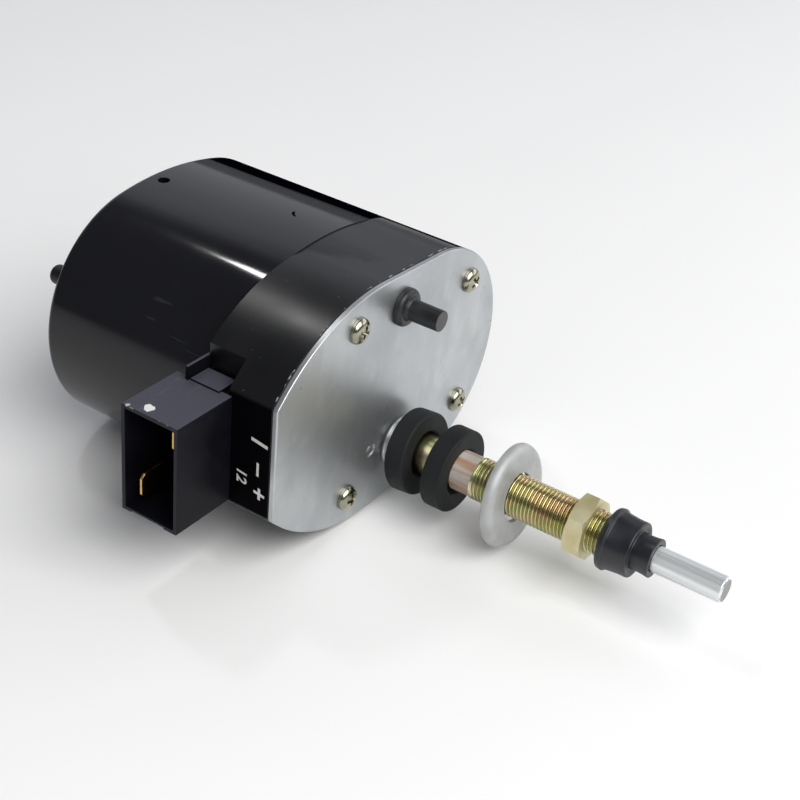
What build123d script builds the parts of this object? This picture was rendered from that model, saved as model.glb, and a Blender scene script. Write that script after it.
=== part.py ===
"""Wiper motor with a threaded spindle mount, modelled piece by piece in millimetres.

+X runs forward along the output shaft, +Z is up and the connector faces -Y. The origin lies
on the shaft's axis, at the front face of the cover plate.
"""
import os
from math import acos, asin, atan2, cos, degrees, hypot, pi, radians, sin, sqrt, tan

from build123d import *

os.makedirs("parts", exist_ok=True)

# Body section, seen from the front, measured from the body's middle line
body_mid = 20.6
flat_y = -60.4
flat_half = 18.4
flat_corner = 3.0
plate_corner = 0.8
chamfer_angle = 44.0
shoulder_share = 0.868
taper_angle = 2.9
end_y = 14.8
end_radius = 37.2

# Steel can behind the gear housing
can_length = 65.4
can_wall = 1.6
can_end_y = -13.8
can_end_radius = 38.7
can_side_radius = 106.0
can_edge_radius = 2.2
vent_radius = 1.9
vent_from_rear = 6.4
vent_y = -6.5

# Gear housing and cover plate
housing_depth = 30.0
housing_wall = 3.0
swell_inset = 0.35
swell_length = 27.5
swell_angle = 2.9
floor_thick = 3.0
plate_thick = 1.5
plate_edge_radius = 0.4
gasket_thick = 0.5
neck_radius = 7.05
neck_length = 3.2
neck_fillet = 1.2
stake_y = -13.4
stake_z = 3.0
stake_radius = 2.3
stake_depth = 0.45
thrust_gap = 0.1
boss_radius = 4.5
boss_reach = 3.0

# Cover screws, in a tall pair and a short pair
screw_left_y = -24.9
screw_left_half = 28.8
screw_right_y = 34.1
screw_right_half = 21.8
screw_shank = 2.0
screw_length = 12.0
screw_hole_spare = 1.0
screw_head_radius = 4.0
screw_head_height = 2.6
recess_width = 1.3
recess_span = 4.6
recess_depth = 1.5

# Locating stud and its rubber sleeve
stud_y = -2.2
stud_rise = 27.3
stud_radius = 1.9
stud_rivet_radius = 3.0
stud_rivet_thick = 1.0
sleeve_radius = 3.2
sleeve_length = 13.3
sleeve_tip = 0.9
sleeve_flange_radius = 5.9
sleeve_flange_thick = 2.5
sleeve_shoulder_radius = 3.6
sleeve_shoulder_length = 4.0

# Spindle, its bushes and the output shaft
spindle_end = 81.5
shank_radius = 6.3
thread_start = 31.0
thread_radius = 6.65
spindle_chamfer = 0.8
spindle_flange_radius = 10.5
spindle_flange_thick = 4.0
spindle_bore_radius = 4.6
bush_radius = 5.3
bush_length = 14.0
shaft_radius = 4.0
shaft_end = 112.0
shaft_chamfer = 0.6
running_fit = 0.04
thrust_washer_radius = 6.2
thrust_washer_thick = 0.7
clip_radius = 5.4
clip_thick = 0.9
clip_groove_depth = 0.4
boot_groove_width = 1.5
clip_opening = 50.0
end_play = 0.2
press_gap = 0.02

# Rubber rings, cup washer and nut that clamp a panel
ring_radius = 13.1
ring_hole_radius = 7.3
ring_thick = 6.7
ring_edge_radius = 0.8
inner_ring_start = 4.8
inner_ring_drop = 0.5
inner_ring_tilt = 5.0
outer_ring_start = 17.9
outer_ring_drop = 0.8
washer_radius = 16.0
washer_hole_radius = 7.65
washer_start = 41.1
washer_depth = 3.4
washer_thick = 1.6
washer_rim_radius = 2.8
washer_drop = 0.8
washer_tilt = 6.5
nut_start = 64.5
nut_thick = 5.8
nut_across_flats = 17.9
nut_turn = 20.7
nut_chamfer_angle = 30.0

# Rubber boot over the spindle's end
boot_start = 75.2
boot_lip_radius = 9.6
boot_lip_length = 1.9
boot_back_radius = 8.75
boot_front_radius = 8.4
boot_step = 84.6
boot_end = 90.3
boot_nose_radius = 6.1
boot_edge_radius = 0.4
boot_wall = 1.0
boot_grip = 0.1

# Connector on the flat side
socket_back_x = -35.8
socket_front_x = -15.7
socket_low_z = 2.6
socket_high_z = 37.5
socket_depth = 22.4
socket_wall = 1.3
socket_floor = 2.6
socket_edge_radius = 0.5
neck_back_x = -25.4
neck_front_x = -18.2
neck_half_height = 15.0
neck_inside = 2.0
neck_gap = 0.1
tongue_back_x = -29.7
tongue_front_x = -19.4
tongue_low_z = 37.0
tongue_high_z = 38.1
tongue_length = 6.4
fin_thick = 1.0
fin_overlap = 1.9
fin_length = 10.5
fin_high_z = 41.9
pocket_front_x = -17.0
pocket_depth = 7.3
pocket_floor = 1.1
pocket_wall = 2.0
lip_notch_back_x = -32.5
lip_notch_front_x = -20.5
lip_notch_depth = 0.5
blade_width = 7.8
blade_thick = 0.8
blade_tip = 1.3
low_blade_x = -30.0
low_blade_z = 11.7
low_blade_tip_y = -81.4
high_blade_x = -20.0
high_blade_z = 30.6
high_blade_tip_y = -79.6
low_blade_inner_x = -23.6
blade_end_y = -50.6
board_front_y = -53.4
board_thick = 1.6
board_front_x = -17.0
board_half_height = 15.0

# Armature, magnets and brush gear
motor_y = 0.5
motor_shaft_radius = 3.0
journal_radius = 1.2
core_slots = 12
slot_width = 3.0
slot_depth = 10.0
winding_inset = 1.1
winding_rear_gap = 3.3
slot_lining = 0.1
winding_overhang = 6.0
winding_hub_radius = 10.0
commutator_radius = 11.0
commutator_length = 9.5
commutator_slit = 0.6
commutator_slit_depth = 2.5
magnet_thick = 7.9
magnet_span = 130.0
magnet_overlap = 1.0
air_gap = 0.7
yoke_wall = 2.2
yoke_overlap = 6.0
can_fit = 0.2
motor_bearing_radius = 6.0
bearing_boss_wall = 3.0
front_boss_length = 4.0
rear_boss_length = 5.0
rear_boss_wall = 2.0
brush_plate_inset = 6.0
brush_plate_thick = 2.0
brush_plate_hole = 7.0
brush_length = 10.0
brush_width = 7.0
brush_height = 6.0
holder_base = 1.6
holder_wall = 0.8
holder_start = 12.0
holder_length = 15.0
holder_fit = 0.1
spring_thick = 0.35
spring_height = 4.0
spring_width = 5.0
spring_folds = 5
commutator_gap = 1.0
contact_gap = 0.2
core_gap = 2.0

# Gear train
pinion_teeth = 9
wheel_teeth = 60
first_module = 0.6
second_module = 0.75
first_wheel_thick = 4.0
second_wheel_thick = 4.6
layer_gap = 0.7
second_angle = 155.0
first_pin_radius = 2.0
crank_pin_radius = 2.5
crank_axle_radius = 3.0
axle_boss_radius = 4.5
pressure_angle = 20.0
pinion_addendum = 0.9
wheel_addendum = 0.6
dedendum = 1.2
backlash = 0.1

# Park switch on the back of the crank gear
park_outer_radius = 16.5
park_inner_radius = 13.0
park_thick = 0.5
park_opening = 40.0
park_opening_angle = 250.0
contact_strip_thick = 0.4
contact_strip_width = 2.4
contact_strip_half_pitch = 2.6
contact_dimple_radius = 0.8

# Connecting rod and output lever
output_sweep = 105.0
lever_length = 12.0
lever_thick = 3.5
lever_hub_radius = 7.0
lever_eye_radius = 4.5
lever_eye_gap = 0.3
lever_pin_radius = 2.5
rod_thick = 3.0
rod_eye_radius = 4.8
rod_width = 6.0
rod_clip_radius = 4.0
rod_clip_thick = 0.4
web_outer_radius = 20.0
web_inner_radius = 15.5
web_depth = 1.6

# Through bolts
bolt_inset = 5.1
bolt_angle = 149.6
bolt_radius = 2.0
bolt_head_radius = 3.1
bolt_head_height = 4.8
bolt_boss_radius = 4.2
bolt_boss_length = 4.0

# Places along the shaft that follow from the sizes above
plate_back = -plate_thick
gasket_back = plate_back - gasket_thick
housing_back = -housing_depth
floor_front = housing_back + floor_thick
can_back = housing_back - can_length
can_inside = can_back + can_wall
bearing_front = floor_front + 0.4
bearing_back = housing_back - front_boss_length
brush_plate_back = bearing_back - brush_plate_thick
commutator_front = brush_plate_back - commutator_gap
commutator_back = commutator_front - commutator_length
core_front = commutator_back - core_gap - winding_overhang
core_back = can_inside + winding_rear_gap + winding_overhang
core_length = core_front - core_back

# Centre of the big arc that joins the can's two end arcs at the top, below the middle line
can_span = end_y - can_end_y
can_reach = can_side_radius - can_end_radius
end_reach = can_side_radius - end_radius
side_y = can_end_y + (can_span**2 + can_reach**2 - end_reach**2) / (2 * can_span)
side_drop = sqrt(can_reach**2 - (side_y - can_end_y)**2)

# Rings of the motor, from the can's wall inwards
can_half = can_side_radius - hypot(motor_y - side_y, side_drop)
yoke_outer = can_half - can_wall - can_fit
yoke_inner = yoke_outer - yoke_wall
magnet_outer = yoke_inner - press_gap
magnet_inner = magnet_outer - magnet_thick
core_radius = magnet_inner - air_gap
winding_radius = core_radius - winding_inset
brush_plate_radius = yoke_outer - brush_plate_inset

# Gear centres, as (Y, Z)
motor_centre = (motor_y, body_mid)
first_distance = first_module * (pinion_teeth + wheel_teeth) / 2
second_distance = second_module * (pinion_teeth + wheel_teeth) / 2
first_centre = (motor_y + first_distance, body_mid)
crank_centre = (
    first_centre[0] + second_distance * cos(radians(second_angle)),
    first_centre[1] + second_distance * sin(radians(second_angle)),
)

# Four-bar linkage whose lever sweeps the same angle to both sides in equal times
half_sweep = radians(output_sweep / 2)
crank_radius = lever_length * sin(half_sweep)
crank_distance = hypot(*crank_centre)
rod_length = sqrt(crank_distance**2 + crank_radius**2 - lever_length**2)
lever_angle = atan2(crank_centre[1], crank_centre[0]) + acos(lever_length * cos(half_sweep) / crank_distance)
lever_tip = (lever_length * cos(lever_angle), lever_length * sin(lever_angle))
tip_distance = hypot(lever_tip[0] - crank_centre[0], lever_tip[1] - crank_centre[1])
crank_turn = acos((crank_radius**2 + tip_distance**2 - rod_length**2) / (2 * crank_radius * tip_distance))
crank_angle = atan2(lever_tip[1] - crank_centre[1], lever_tip[0] - crank_centre[0]) - crank_turn
crank_pin = (
    crank_centre[0] + crank_radius * cos(crank_angle),
    crank_centre[1] + crank_radius * sin(crank_angle),
)

# Layers of the mechanism, from the housing floor forwards
first_wheel_back = floor_front + layer_gap
first_wheel_front = first_wheel_back + first_wheel_thick
crank_back = first_wheel_front + layer_gap
crank_front = crank_back + second_wheel_thick
rod_back = crank_front + layer_gap
rod_front = rod_back + rod_thick
rod_clip_front = rod_front + 0.1 + rod_clip_thick
lever_back = rod_clip_front + 0.4
lever_front = lever_back + lever_thick


def save(piece, name):
    """Label a finished piece and write it as its own file."""
    piece.label = name
    export_step(piece, f"parts/{name}.step")


def at(centre):
    """Location of a (Y, Z) centre on a plane across the shaft."""
    return Locations((centre[0], centre[1]))


def crossing(p, p_angle, q, q_angle):
    """Point where the line from p meets the line from q, with angles in degrees."""
    px, pz = cos(radians(p_angle)), sin(radians(p_angle))
    qx, qz = cos(radians(q_angle)), sin(radians(q_angle))
    along = ((q[0] - p[0]) * qz - (q[1] - p[1]) * qx) / (px * qz - pz * qx)
    return (p[0] + along * px, p[1] + along * pz)


def body_outline(corner_radius, inset=0.0):
    """Section of plate and housing: flat for the connector, chamfered, round at the far end."""
    tangent = (
        end_y + end_radius * sin(radians(taper_angle)),
        end_radius * cos(radians(taper_angle)),
    )
    corner = crossing((flat_y, flat_half), chamfer_angle, tangent, 180 - taper_angle)
    chamfer_length = hypot(corner[0] - flat_y, corner[1] - flat_half)
    shoulder_radius = shoulder_share * chamfer_length / tan(radians(chamfer_angle + taper_angle) / 2)
    with BuildSketch() as outline:
        with BuildLine():
            Line((flat_y, -flat_half), (flat_y, flat_half))
            Line((flat_y, flat_half), corner)
            Line(corner, tangent)
            ThreePointArc(tangent, (end_y + end_radius, 0), (tangent[0], -tangent[1]))
            Line((tangent[0], -tangent[1]), (corner[0], -corner[1]))
            Line((corner[0], -corner[1]), (flat_y, -flat_half))
        make_face()
        fillet(outline.vertices().group_by(Axis.X)[1], radius=shoulder_radius)
        fillet(outline.vertices().group_by(Axis.X)[0], radius=corner_radius)
        if inset:
            offset(amount=-inset, kind=Kind.INTERSECTION)
    return outline.sketch.moved(Location((0, body_mid, 0)))


def can_outline(inset=0.0):
    """Section of the can: an arc at each end, joined by a big arc above and one below."""
    radius = can_side_radius - inset
    left = (side_y - radius * (side_y - can_end_y) / can_reach, radius * side_drop / can_reach - side_drop)
    right = (side_y + radius * (end_y - side_y) / end_reach, radius * side_drop / end_reach - side_drop)
    with BuildSketch() as outline:
        with BuildLine():
            ThreePointArc(left, (side_y, radius - side_drop), right)
            ThreePointArc(right, (end_y + end_radius - inset, 0), (right[0], -right[1]))
            ThreePointArc((right[0], -right[1]), (side_y, side_drop - radius), (left[0], -left[1]))
            ThreePointArc((left[0], -left[1]), (can_end_y - can_end_radius + inset, 0), left)
        make_face()
    return outline.sketch.moved(Location((0, body_mid, 0)))


def ring(x_from, x_to, outer, inner, centre=(0.0, 0.0)):
    """Plain ring or disc on an axis along X."""
    with BuildPart() as piece:
        with BuildSketch(Plane.YZ.offset(x_from)):
            with at(centre):
                Circle(outer)
                if inner:
                    Circle(inner, mode=Mode.SUBTRACT)
        extrude(amount=x_to - x_from)
    return piece.part


def gear_face(teeth, module, phase, addendum):
    """Spur gear outline with involute flanks, one tooth centred at the angle phase."""
    pitch_radius = module * teeth / 2
    base_radius = pitch_radius * cos(radians(pressure_angle))
    root_radius = pitch_radius - dedendum * module
    tip_radius = pitch_radius + addendum * module
    pitch_half = pi / (2 * teeth) * (1 - backlash)
    pitch_inv = tan(radians(pressure_angle)) - radians(pressure_angle)

    def half_angle(radius):
        roll = acos(min(1.0, base_radius / radius))
        return pitch_half + pitch_inv - (tan(roll) - roll)

    radii = sorted({root_radius, max(base_radius, root_radius), pitch_radius, tip_radius})
    points = []
    for tooth in range(teeth):
        middle = radians(phase) + 2 * pi * tooth / teeth
        flank = [(radius, half_angle(radius)) for radius in radii]
        for radius, half in flank:
            points.append((radius * cos(middle - half), radius * sin(middle - half)))
        for radius, half in reversed(flank):
            points.append((radius * cos(middle + half), radius * sin(middle + half)))
    with BuildSketch() as face:
        with BuildLine():
            Polyline(*points, close=True)
        make_face()
    return face.sketch


def moved_to(sketch, centre):
    """Sketch moved to a (Y, Z) centre on its plane."""
    return sketch.moved(Location((centre[0], centre[1], 0)))


stud_z = body_mid + stud_rise
screw_places = [
    (screw_left_y, body_mid + screw_left_half),
    (screw_left_y, body_mid - screw_left_half),
    (screw_right_y, body_mid + screw_right_half),
    (screw_right_y, body_mid - screw_right_half),
]
bolt_places = []
for middle_y, radius, angle in (
        (can_end_y, can_end_radius, bolt_angle),
        (end_y, end_radius, bolt_angle - 180)):
    bolt_reach = radius - bolt_inset
    bolt_places.append((
        middle_y + bolt_reach * cos(radians(angle)),
        body_mid + bolt_reach * sin(radians(angle)),
    ))

def wedge(centre, mid_angle, span, reach):
    """Pie slice used to cut rings into arcs, with angles in degrees."""
    points = [centre]
    for share in (-0.5, -0.25, 0.0, 0.25, 0.5):
        angle = radians(mid_angle + share * span)
        points.append((centre[0] + 1.5 * reach * cos(angle), centre[1] + 1.5 * reach * sin(angle)))
    with BuildSketch() as slice_face:
        with BuildLine():
            Polyline(*points, close=True)
        make_face()
    return slice_face.sketch


def arc_band(outer, inner, centre, mid_angle, span):
    """Band between two radii over a span of angle."""
    with BuildSketch() as band:
        with at(centre):
            Circle(outer)
            Circle(inner, mode=Mode.SUBTRACT)
        add(wedge(centre, mid_angle, span, outer), mode=Mode.INTERSECT)
    return band.sketch


def open_ring(outer, inner, centre, mid_angle, opening):
    """Ring with an opening of the given angle."""
    with BuildSketch() as band:
        with at(centre):
            Circle(outer)
            Circle(inner, mode=Mode.SUBTRACT)
        add(wedge(centre, mid_angle, opening, outer), mode=Mode.SUBTRACT)
    return band.sketch


def boss_faces():
    """Screw bosses that grow out of the housing wall, with the same shape on the gasket."""
    with BuildSketch() as bosses:
        for y, z in screw_places:
            away = hypot(y - motor_y, z - body_mid)
            reach_y = (y - motor_y) * boss_reach / away
            reach_z = (z - body_mid) * boss_reach / away
            with BuildSketch(mode=Mode.PRIVATE) as one:
                with Locations((y, z), (y + reach_y, z + reach_z)):
                    Circle(boss_radius)
                make_hull()
            add(one.sketch)
    return bosses.sketch


def block(x_from, x_to, y_from, y_to, z_from, z_to):
    """Block between two corners."""
    with BuildPart() as piece:
        with BuildSketch(Plane.YZ.offset(x_from)):
            with Locations(((y_from + y_to) / 2, (z_from + z_to) / 2)):
                Rectangle(y_to - y_from, z_to - z_from)
        extrude(amount=x_to - x_from)
    return piece.part


def blade(tip_x, tip_y, middle_z, inner_x):
    """Terminal blade with a bevelled tip, stepped to reach the housing's opening."""
    half = blade_thick / 2
    floor_y = flat_y - socket_floor / 2
    low_z = middle_z - blade_width / 2
    high_z = middle_z + blade_width / 2
    with BuildPart() as piece:
        add(block(tip_x - half, tip_x + half, tip_y, floor_y + half, low_z, high_z))
        add(block(min(tip_x, inner_x) - half, max(tip_x, inner_x) + half,
                  floor_y - half, floor_y + half, low_z, high_z))
        add(block(inner_x - half, inner_x + half, floor_y - half, blade_end_y, low_z, high_z))
        chamfer(piece.edges().filter_by(Axis.X).group_by(Axis.Y)[0], length=blade_tip)
    return piece.part


# Cover plate with the drawn neck round the spindle and a staked pip
with BuildPart() as cover_plate:
    with BuildSketch(Plane.YZ.offset(plate_back)):
        add(body_outline(plate_corner))
    extrude(amount=plate_thick)
    fillet(cover_plate.faces().sort_by(Axis.X)[-1].edges(), radius=plate_edge_radius)
    with BuildSketch(Plane.YZ):
        Circle(neck_radius)
    extrude(amount=neck_length)
    rings = cover_plate.edges().filter_by(GeomType.CIRCLE).group_by(Axis.X)
    fillet(rings[-2].filter_by(lambda edge: abs(edge.radius - neck_radius) < 0.01), radius=neck_fillet)
    with BuildSketch(Plane.YZ.offset(plate_back)):
        Circle(shank_radius + press_gap)
        with Locations(*screw_places):
            Circle(screw_shank + 0.3)
        with Locations((stud_y, stud_z)):
            Circle(stud_radius + press_gap)
    extrude(amount=plate_thick + neck_length, mode=Mode.SUBTRACT)
    with BuildSketch(Plane.YZ):
        with Locations((stake_y, stake_z)):
            Circle(stake_radius)
            Circle(stake_radius / 2, mode=Mode.SUBTRACT)
    extrude(amount=-stake_depth, mode=Mode.SUBTRACT)
save(cover_plate.part, "cover_plate")

# Paper gasket between the plate and the housing rim
with BuildPart() as cover_gasket:
    with BuildSketch(Plane.YZ.offset(gasket_back)):
        add(body_outline(flat_corner))
        add(body_outline(flat_corner, housing_wall), mode=Mode.SUBTRACT)
        add(boss_faces())
        with Locations(*screw_places):
            Circle(screw_shank + 0.3, mode=Mode.SUBTRACT)
    extrude(amount=gasket_thick)
save(cover_gasket.part, "cover_gasket")

# Die-cast housing that holds the gears, the front bearing and the connector
with BuildPart() as gear_housing:
    with BuildSketch(Plane.YZ.offset(housing_back)):
        add(body_outline(flat_corner))
    extrude(amount=gasket_back - housing_back)
    with BuildSketch(Plane.YZ.offset(housing_back)):
        add(can_outline(swell_inset))
    extrude(amount=swell_length, taper=swell_angle)
    with BuildSketch(Plane.YZ.offset(floor_front)):
        add(body_outline(flat_corner, housing_wall))
    extrude(amount=gasket_back - floor_front, mode=Mode.SUBTRACT)
    with BuildSketch(Plane.YZ.offset(floor_front)):
        add(boss_faces())
    extrude(amount=gasket_back - floor_front)
    with BuildSketch(Plane.YZ.offset(floor_front)):
        with Locations(*bolt_places):
            Circle(bolt_boss_radius)
    extrude(amount=bolt_boss_length)
    with BuildSketch(Plane.YZ.offset(floor_front)):
        with at(crank_centre):
            Circle(axle_boss_radius)
    extrude(amount=crank_back - thrust_gap - floor_front)
    with BuildSketch(Plane.YZ.offset(floor_front)):
        with at(first_centre):
            Circle(axle_boss_radius)
    extrude(amount=first_wheel_back - thrust_gap - floor_front)
    with BuildSketch(Plane.YZ.offset(housing_back)):
        with Locations((flat_y + (pocket_depth + pocket_wall) / 2, fin_high_z)):
            Rectangle(pocket_depth + pocket_wall, 2 * (fin_high_z - tongue_low_z + pocket_floor))
        add(body_outline(flat_corner), mode=Mode.INTERSECT)
    extrude(amount=pocket_front_x + pocket_wall - housing_back)
    add(block(housing_back, pocket_front_x, flat_y, flat_y + pocket_depth,
              tongue_low_z, body_mid + end_radius),
        mode=Mode.SUBTRACT)
    with BuildSketch(Plane.YZ.offset(bearing_back)):
        with at(motor_centre):
            Circle(motor_bearing_radius + bearing_boss_wall)
    extrude(amount=front_boss_length)
    with BuildSketch(Plane.YZ.offset(bearing_back)):
        with at(motor_centre):
            Circle(motor_bearing_radius)
        with at(first_centre):
            Circle(first_pin_radius)
        with at(crank_centre):
            Circle(crank_axle_radius)
        with Locations(*bolt_places):
            Circle(bolt_radius)
    extrude(amount=gasket_back - bearing_back, mode=Mode.SUBTRACT)
    with BuildSketch(Plane.YZ.offset(gasket_back - screw_length - screw_hole_spare)):
        with Locations(*screw_places):
            Circle(screw_shank)
    extrude(amount=screw_length + screw_hole_spare, mode=Mode.SUBTRACT)
    add(block(neck_back_x - neck_gap, neck_front_x + neck_gap, flat_y, flat_y + housing_wall,
              body_mid - neck_half_height - neck_gap, body_mid + neck_half_height + neck_gap),
        mode=Mode.SUBTRACT)
save(gear_housing.part, "gear_housing")

# Deep-drawn can with its rear bearing pocket
with BuildPart() as motor_can:
    with BuildSketch(Plane.YZ.offset(can_back)):
        add(can_outline())
    extrude(amount=can_length)
    fillet(motor_can.faces().sort_by(Axis.X)[0].edges(), radius=can_edge_radius)
    with BuildSketch(Plane.YZ.offset(can_back)):
        with at(motor_centre):
            Circle(motor_bearing_radius + rear_boss_wall)
    extrude(amount=-rear_boss_length)
    fillet(motor_can.faces().sort_by(Axis.X)[0].edges(), radius=rear_boss_wall / 2)
    with BuildSketch(Plane.YZ.offset(can_inside)):
        add(can_outline(can_wall))
    extrude(amount=can_length - can_wall, mode=Mode.SUBTRACT)
    with BuildSketch(Plane.YZ.offset(can_back - rear_boss_length + can_wall)):
        with at(motor_centre):
            Circle(motor_bearing_radius)
    extrude(amount=rear_boss_length, mode=Mode.SUBTRACT)
    with BuildSketch(Plane.YZ.offset(can_back)):
        with Locations(*bolt_places):
            Circle(bolt_radius + 0.2)
    extrude(amount=2 * can_wall, mode=Mode.SUBTRACT)
    with BuildSketch(Plane.XY.offset(body_mid)):
        with Locations((can_back + vent_from_rear, vent_y)):
            Circle(vent_radius)
    extrude(amount=2 * can_end_radius, mode=Mode.SUBTRACT)
save(motor_can.part, "motor_can")

# Cover screws with pan heads and cross recesses
with BuildPart() as cover_screws:
    with BuildSketch(Plane.YZ.offset(gasket_back - screw_length)):
        with Locations(*screw_places):
            Circle(screw_shank - press_gap)
    extrude(amount=screw_length - gasket_back)
    with BuildSketch(Plane.YZ):
        with Locations(*screw_places):
            Circle(screw_head_radius)
    extrude(amount=screw_head_height)
    fillet(cover_screws.edges().filter_by(GeomType.CIRCLE).group_by(Axis.X)[-1],
           radius=0.6 * screw_head_height)
    with BuildSketch(Plane.YZ.offset(screw_head_height - recess_depth)):
        with Locations(*screw_places):
            Rectangle(recess_span, recess_width)
            Rectangle(recess_width, recess_span)
    extrude(amount=recess_depth, mode=Mode.SUBTRACT)
save(cover_screws.part, "cover_screws")

# Locating stud riveted through the plate, and its rubber sleeve
with BuildPart() as mounting_stud:
    with BuildSketch(Plane.YZ.offset(plate_back - stud_rivet_thick)):
        with Locations((stud_y, stud_z)):
            Circle(stud_rivet_radius)
    extrude(amount=stud_rivet_thick)
    with BuildSketch(Plane.YZ.offset(plate_back)):
        with Locations((stud_y, stud_z)):
            Circle(stud_radius)
    extrude(amount=sleeve_length - sleeve_flange_thick - plate_back)
save(mounting_stud.part, "mounting_stud")

with BuildPart() as stud_sleeve:
    with BuildSketch(Plane.YZ):
        with Locations((stud_y, stud_z)):
            Circle(sleeve_flange_radius)
    extrude(amount=sleeve_flange_thick)
    with BuildSketch(Plane.YZ):
        with Locations((stud_y, stud_z)):
            Circle(sleeve_shoulder_radius)
    extrude(amount=sleeve_shoulder_length)
    with BuildSketch(Plane.YZ):
        with Locations((stud_y, stud_z)):
            Circle(sleeve_radius)
    extrude(amount=sleeve_length)
    chamfer(stud_sleeve.edges().group_by(Axis.X)[-1], length=sleeve_tip)
    with BuildSketch(Plane.YZ):
        with Locations((stud_y, stud_z)):
            Circle(stud_radius + press_gap)
    extrude(amount=sleeve_length - sleeve_flange_thick, mode=Mode.SUBTRACT)
save(stud_sleeve.part, "stud_sleeve")

# Threaded spindle tube with a flange behind the plate
with BuildPart() as spindle_tube:
    with BuildSketch(Plane.YZ.offset(plate_back - spindle_flange_thick)):
        Circle(spindle_flange_radius)
    extrude(amount=spindle_flange_thick)
    with BuildSketch(Plane.YZ.offset(plate_back)):
        Circle(shank_radius)
    extrude(amount=thread_start - plate_back)
    with BuildSketch(Plane.YZ.offset(thread_start)):
        Circle(thread_radius)
    extrude(amount=spindle_end - thread_start)
    chamfer(spindle_tube.edges().group_by(Axis.X)[-1], length=spindle_chamfer)
    with BuildSketch(Plane.YZ.offset(plate_back - spindle_flange_thick)):
        Circle(spindle_bore_radius)
    extrude(amount=spindle_end + spindle_flange_thick - plate_back, mode=Mode.SUBTRACT)
    with BuildSketch(Plane.YZ.offset(plate_back - spindle_flange_thick)):
        Circle(bush_radius)
    extrude(amount=bush_length, mode=Mode.SUBTRACT)
    with BuildSketch(Plane.YZ.offset(spindle_end - bush_length)):
        Circle(bush_radius)
    extrude(amount=bush_length, mode=Mode.SUBTRACT)
save(spindle_tube.part, "spindle_tube")

flange_back = plate_back - spindle_flange_thick
bush_bore = shaft_radius + running_fit
save(ring(flange_back, flange_back + bush_length, bush_radius - press_gap, bush_bore), "rear_bush")
save(ring(spindle_end - bush_length, spindle_end, bush_radius - press_gap, bush_bore), "front_bush")

# Output shaft with a groove for its clip and one under the boot's nose
front_washer_back = spindle_end + thrust_gap
clip_back = front_washer_back + thrust_washer_thick + thrust_gap
with BuildPart() as output_shaft:
    with BuildSketch(Plane.YZ.offset(lever_back)):
        Circle(shaft_radius)
    extrude(amount=shaft_end - lever_back)
    chamfer(output_shaft.edges().group_by(Axis.X)[-1], length=shaft_chamfer)
    with BuildSketch(Plane.YZ.offset(clip_back - press_gap)):
        Circle(shaft_radius)
        Circle(shaft_radius - clip_groove_depth, mode=Mode.SUBTRACT)
    extrude(amount=clip_thick + 2 * press_gap, mode=Mode.SUBTRACT)
    with BuildSketch(Plane.YZ.offset(boot_end - boot_groove_width)):
        Circle(shaft_radius)
        Circle(shaft_radius - clip_groove_depth, mode=Mode.SUBTRACT)
    extrude(amount=boot_groove_width, mode=Mode.SUBTRACT)
save(output_shaft.part, "output_shaft")

with BuildPart() as shaft_circlip:
    with BuildSketch(Plane.YZ.offset(clip_back)):
        add(open_ring(clip_radius, shaft_radius - clip_groove_depth + press_gap, (0, 0), -90, clip_opening))
    extrude(amount=clip_thick)
save(shaft_circlip.part, "shaft_circlip")

rear_washer_back = flange_back - thrust_gap - thrust_washer_thick
with BuildPart() as thrust_washers:
    add(ring(rear_washer_back, rear_washer_back + thrust_washer_thick, thrust_washer_radius, bush_bore))
    add(ring(front_washer_back, front_washer_back + thrust_washer_thick, thrust_washer_radius, bush_bore))
save(thrust_washers.part, "thrust_washers")

# Output lever pressed on the shaft, with the pin for the connecting rod
lever_hub_front = rear_washer_back - thrust_gap
with BuildPart() as output_lever:
    with BuildSketch(Plane.YZ.offset(lever_back)):
        Circle(lever_hub_radius)
        with at(lever_tip):
            Circle(lever_eye_radius)
        make_hull()
    extrude(amount=lever_thick)
    with BuildSketch(Plane.YZ.offset(lever_front)):
        Circle(lever_hub_radius)
    extrude(amount=lever_hub_front - lever_front)
    with BuildSketch(Plane.YZ.offset(lever_back)):
        Circle(shaft_radius + press_gap)
        with at(lever_tip):
            Circle(lever_pin_radius + press_gap)
    extrude(amount=lever_hub_front - lever_back, mode=Mode.SUBTRACT)
save(output_lever.part, "output_lever")
save(ring(rod_front + lever_eye_gap, lever_front, lever_pin_radius, 0, lever_tip), "lever_pin")

# Rubber rings that grip the panel
with BuildPart() as outer_grommet:
    add(ring(outer_ring_start, outer_ring_start + ring_thick, ring_radius, ring_hole_radius,
             (0, -outer_ring_drop)))
    fillet(outer_grommet.edges().filter_by(GeomType.CIRCLE), radius=ring_edge_radius)
save(outer_grommet.part, "outer_grommet")

ring_pivot = Location((inner_ring_start + ring_thick / 2, 0, -inner_ring_drop))
with BuildPart() as inner_grommet:
    add(ring(-ring_thick / 2, ring_thick / 2, ring_radius, ring_hole_radius))
    fillet(inner_grommet.edges().filter_by(GeomType.CIRCLE), radius=ring_edge_radius)
save(inner_grommet.part.moved(ring_pivot * Location((0, 0, 0), (0, -inner_ring_tilt, 0))), "inner_grommet")

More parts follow.
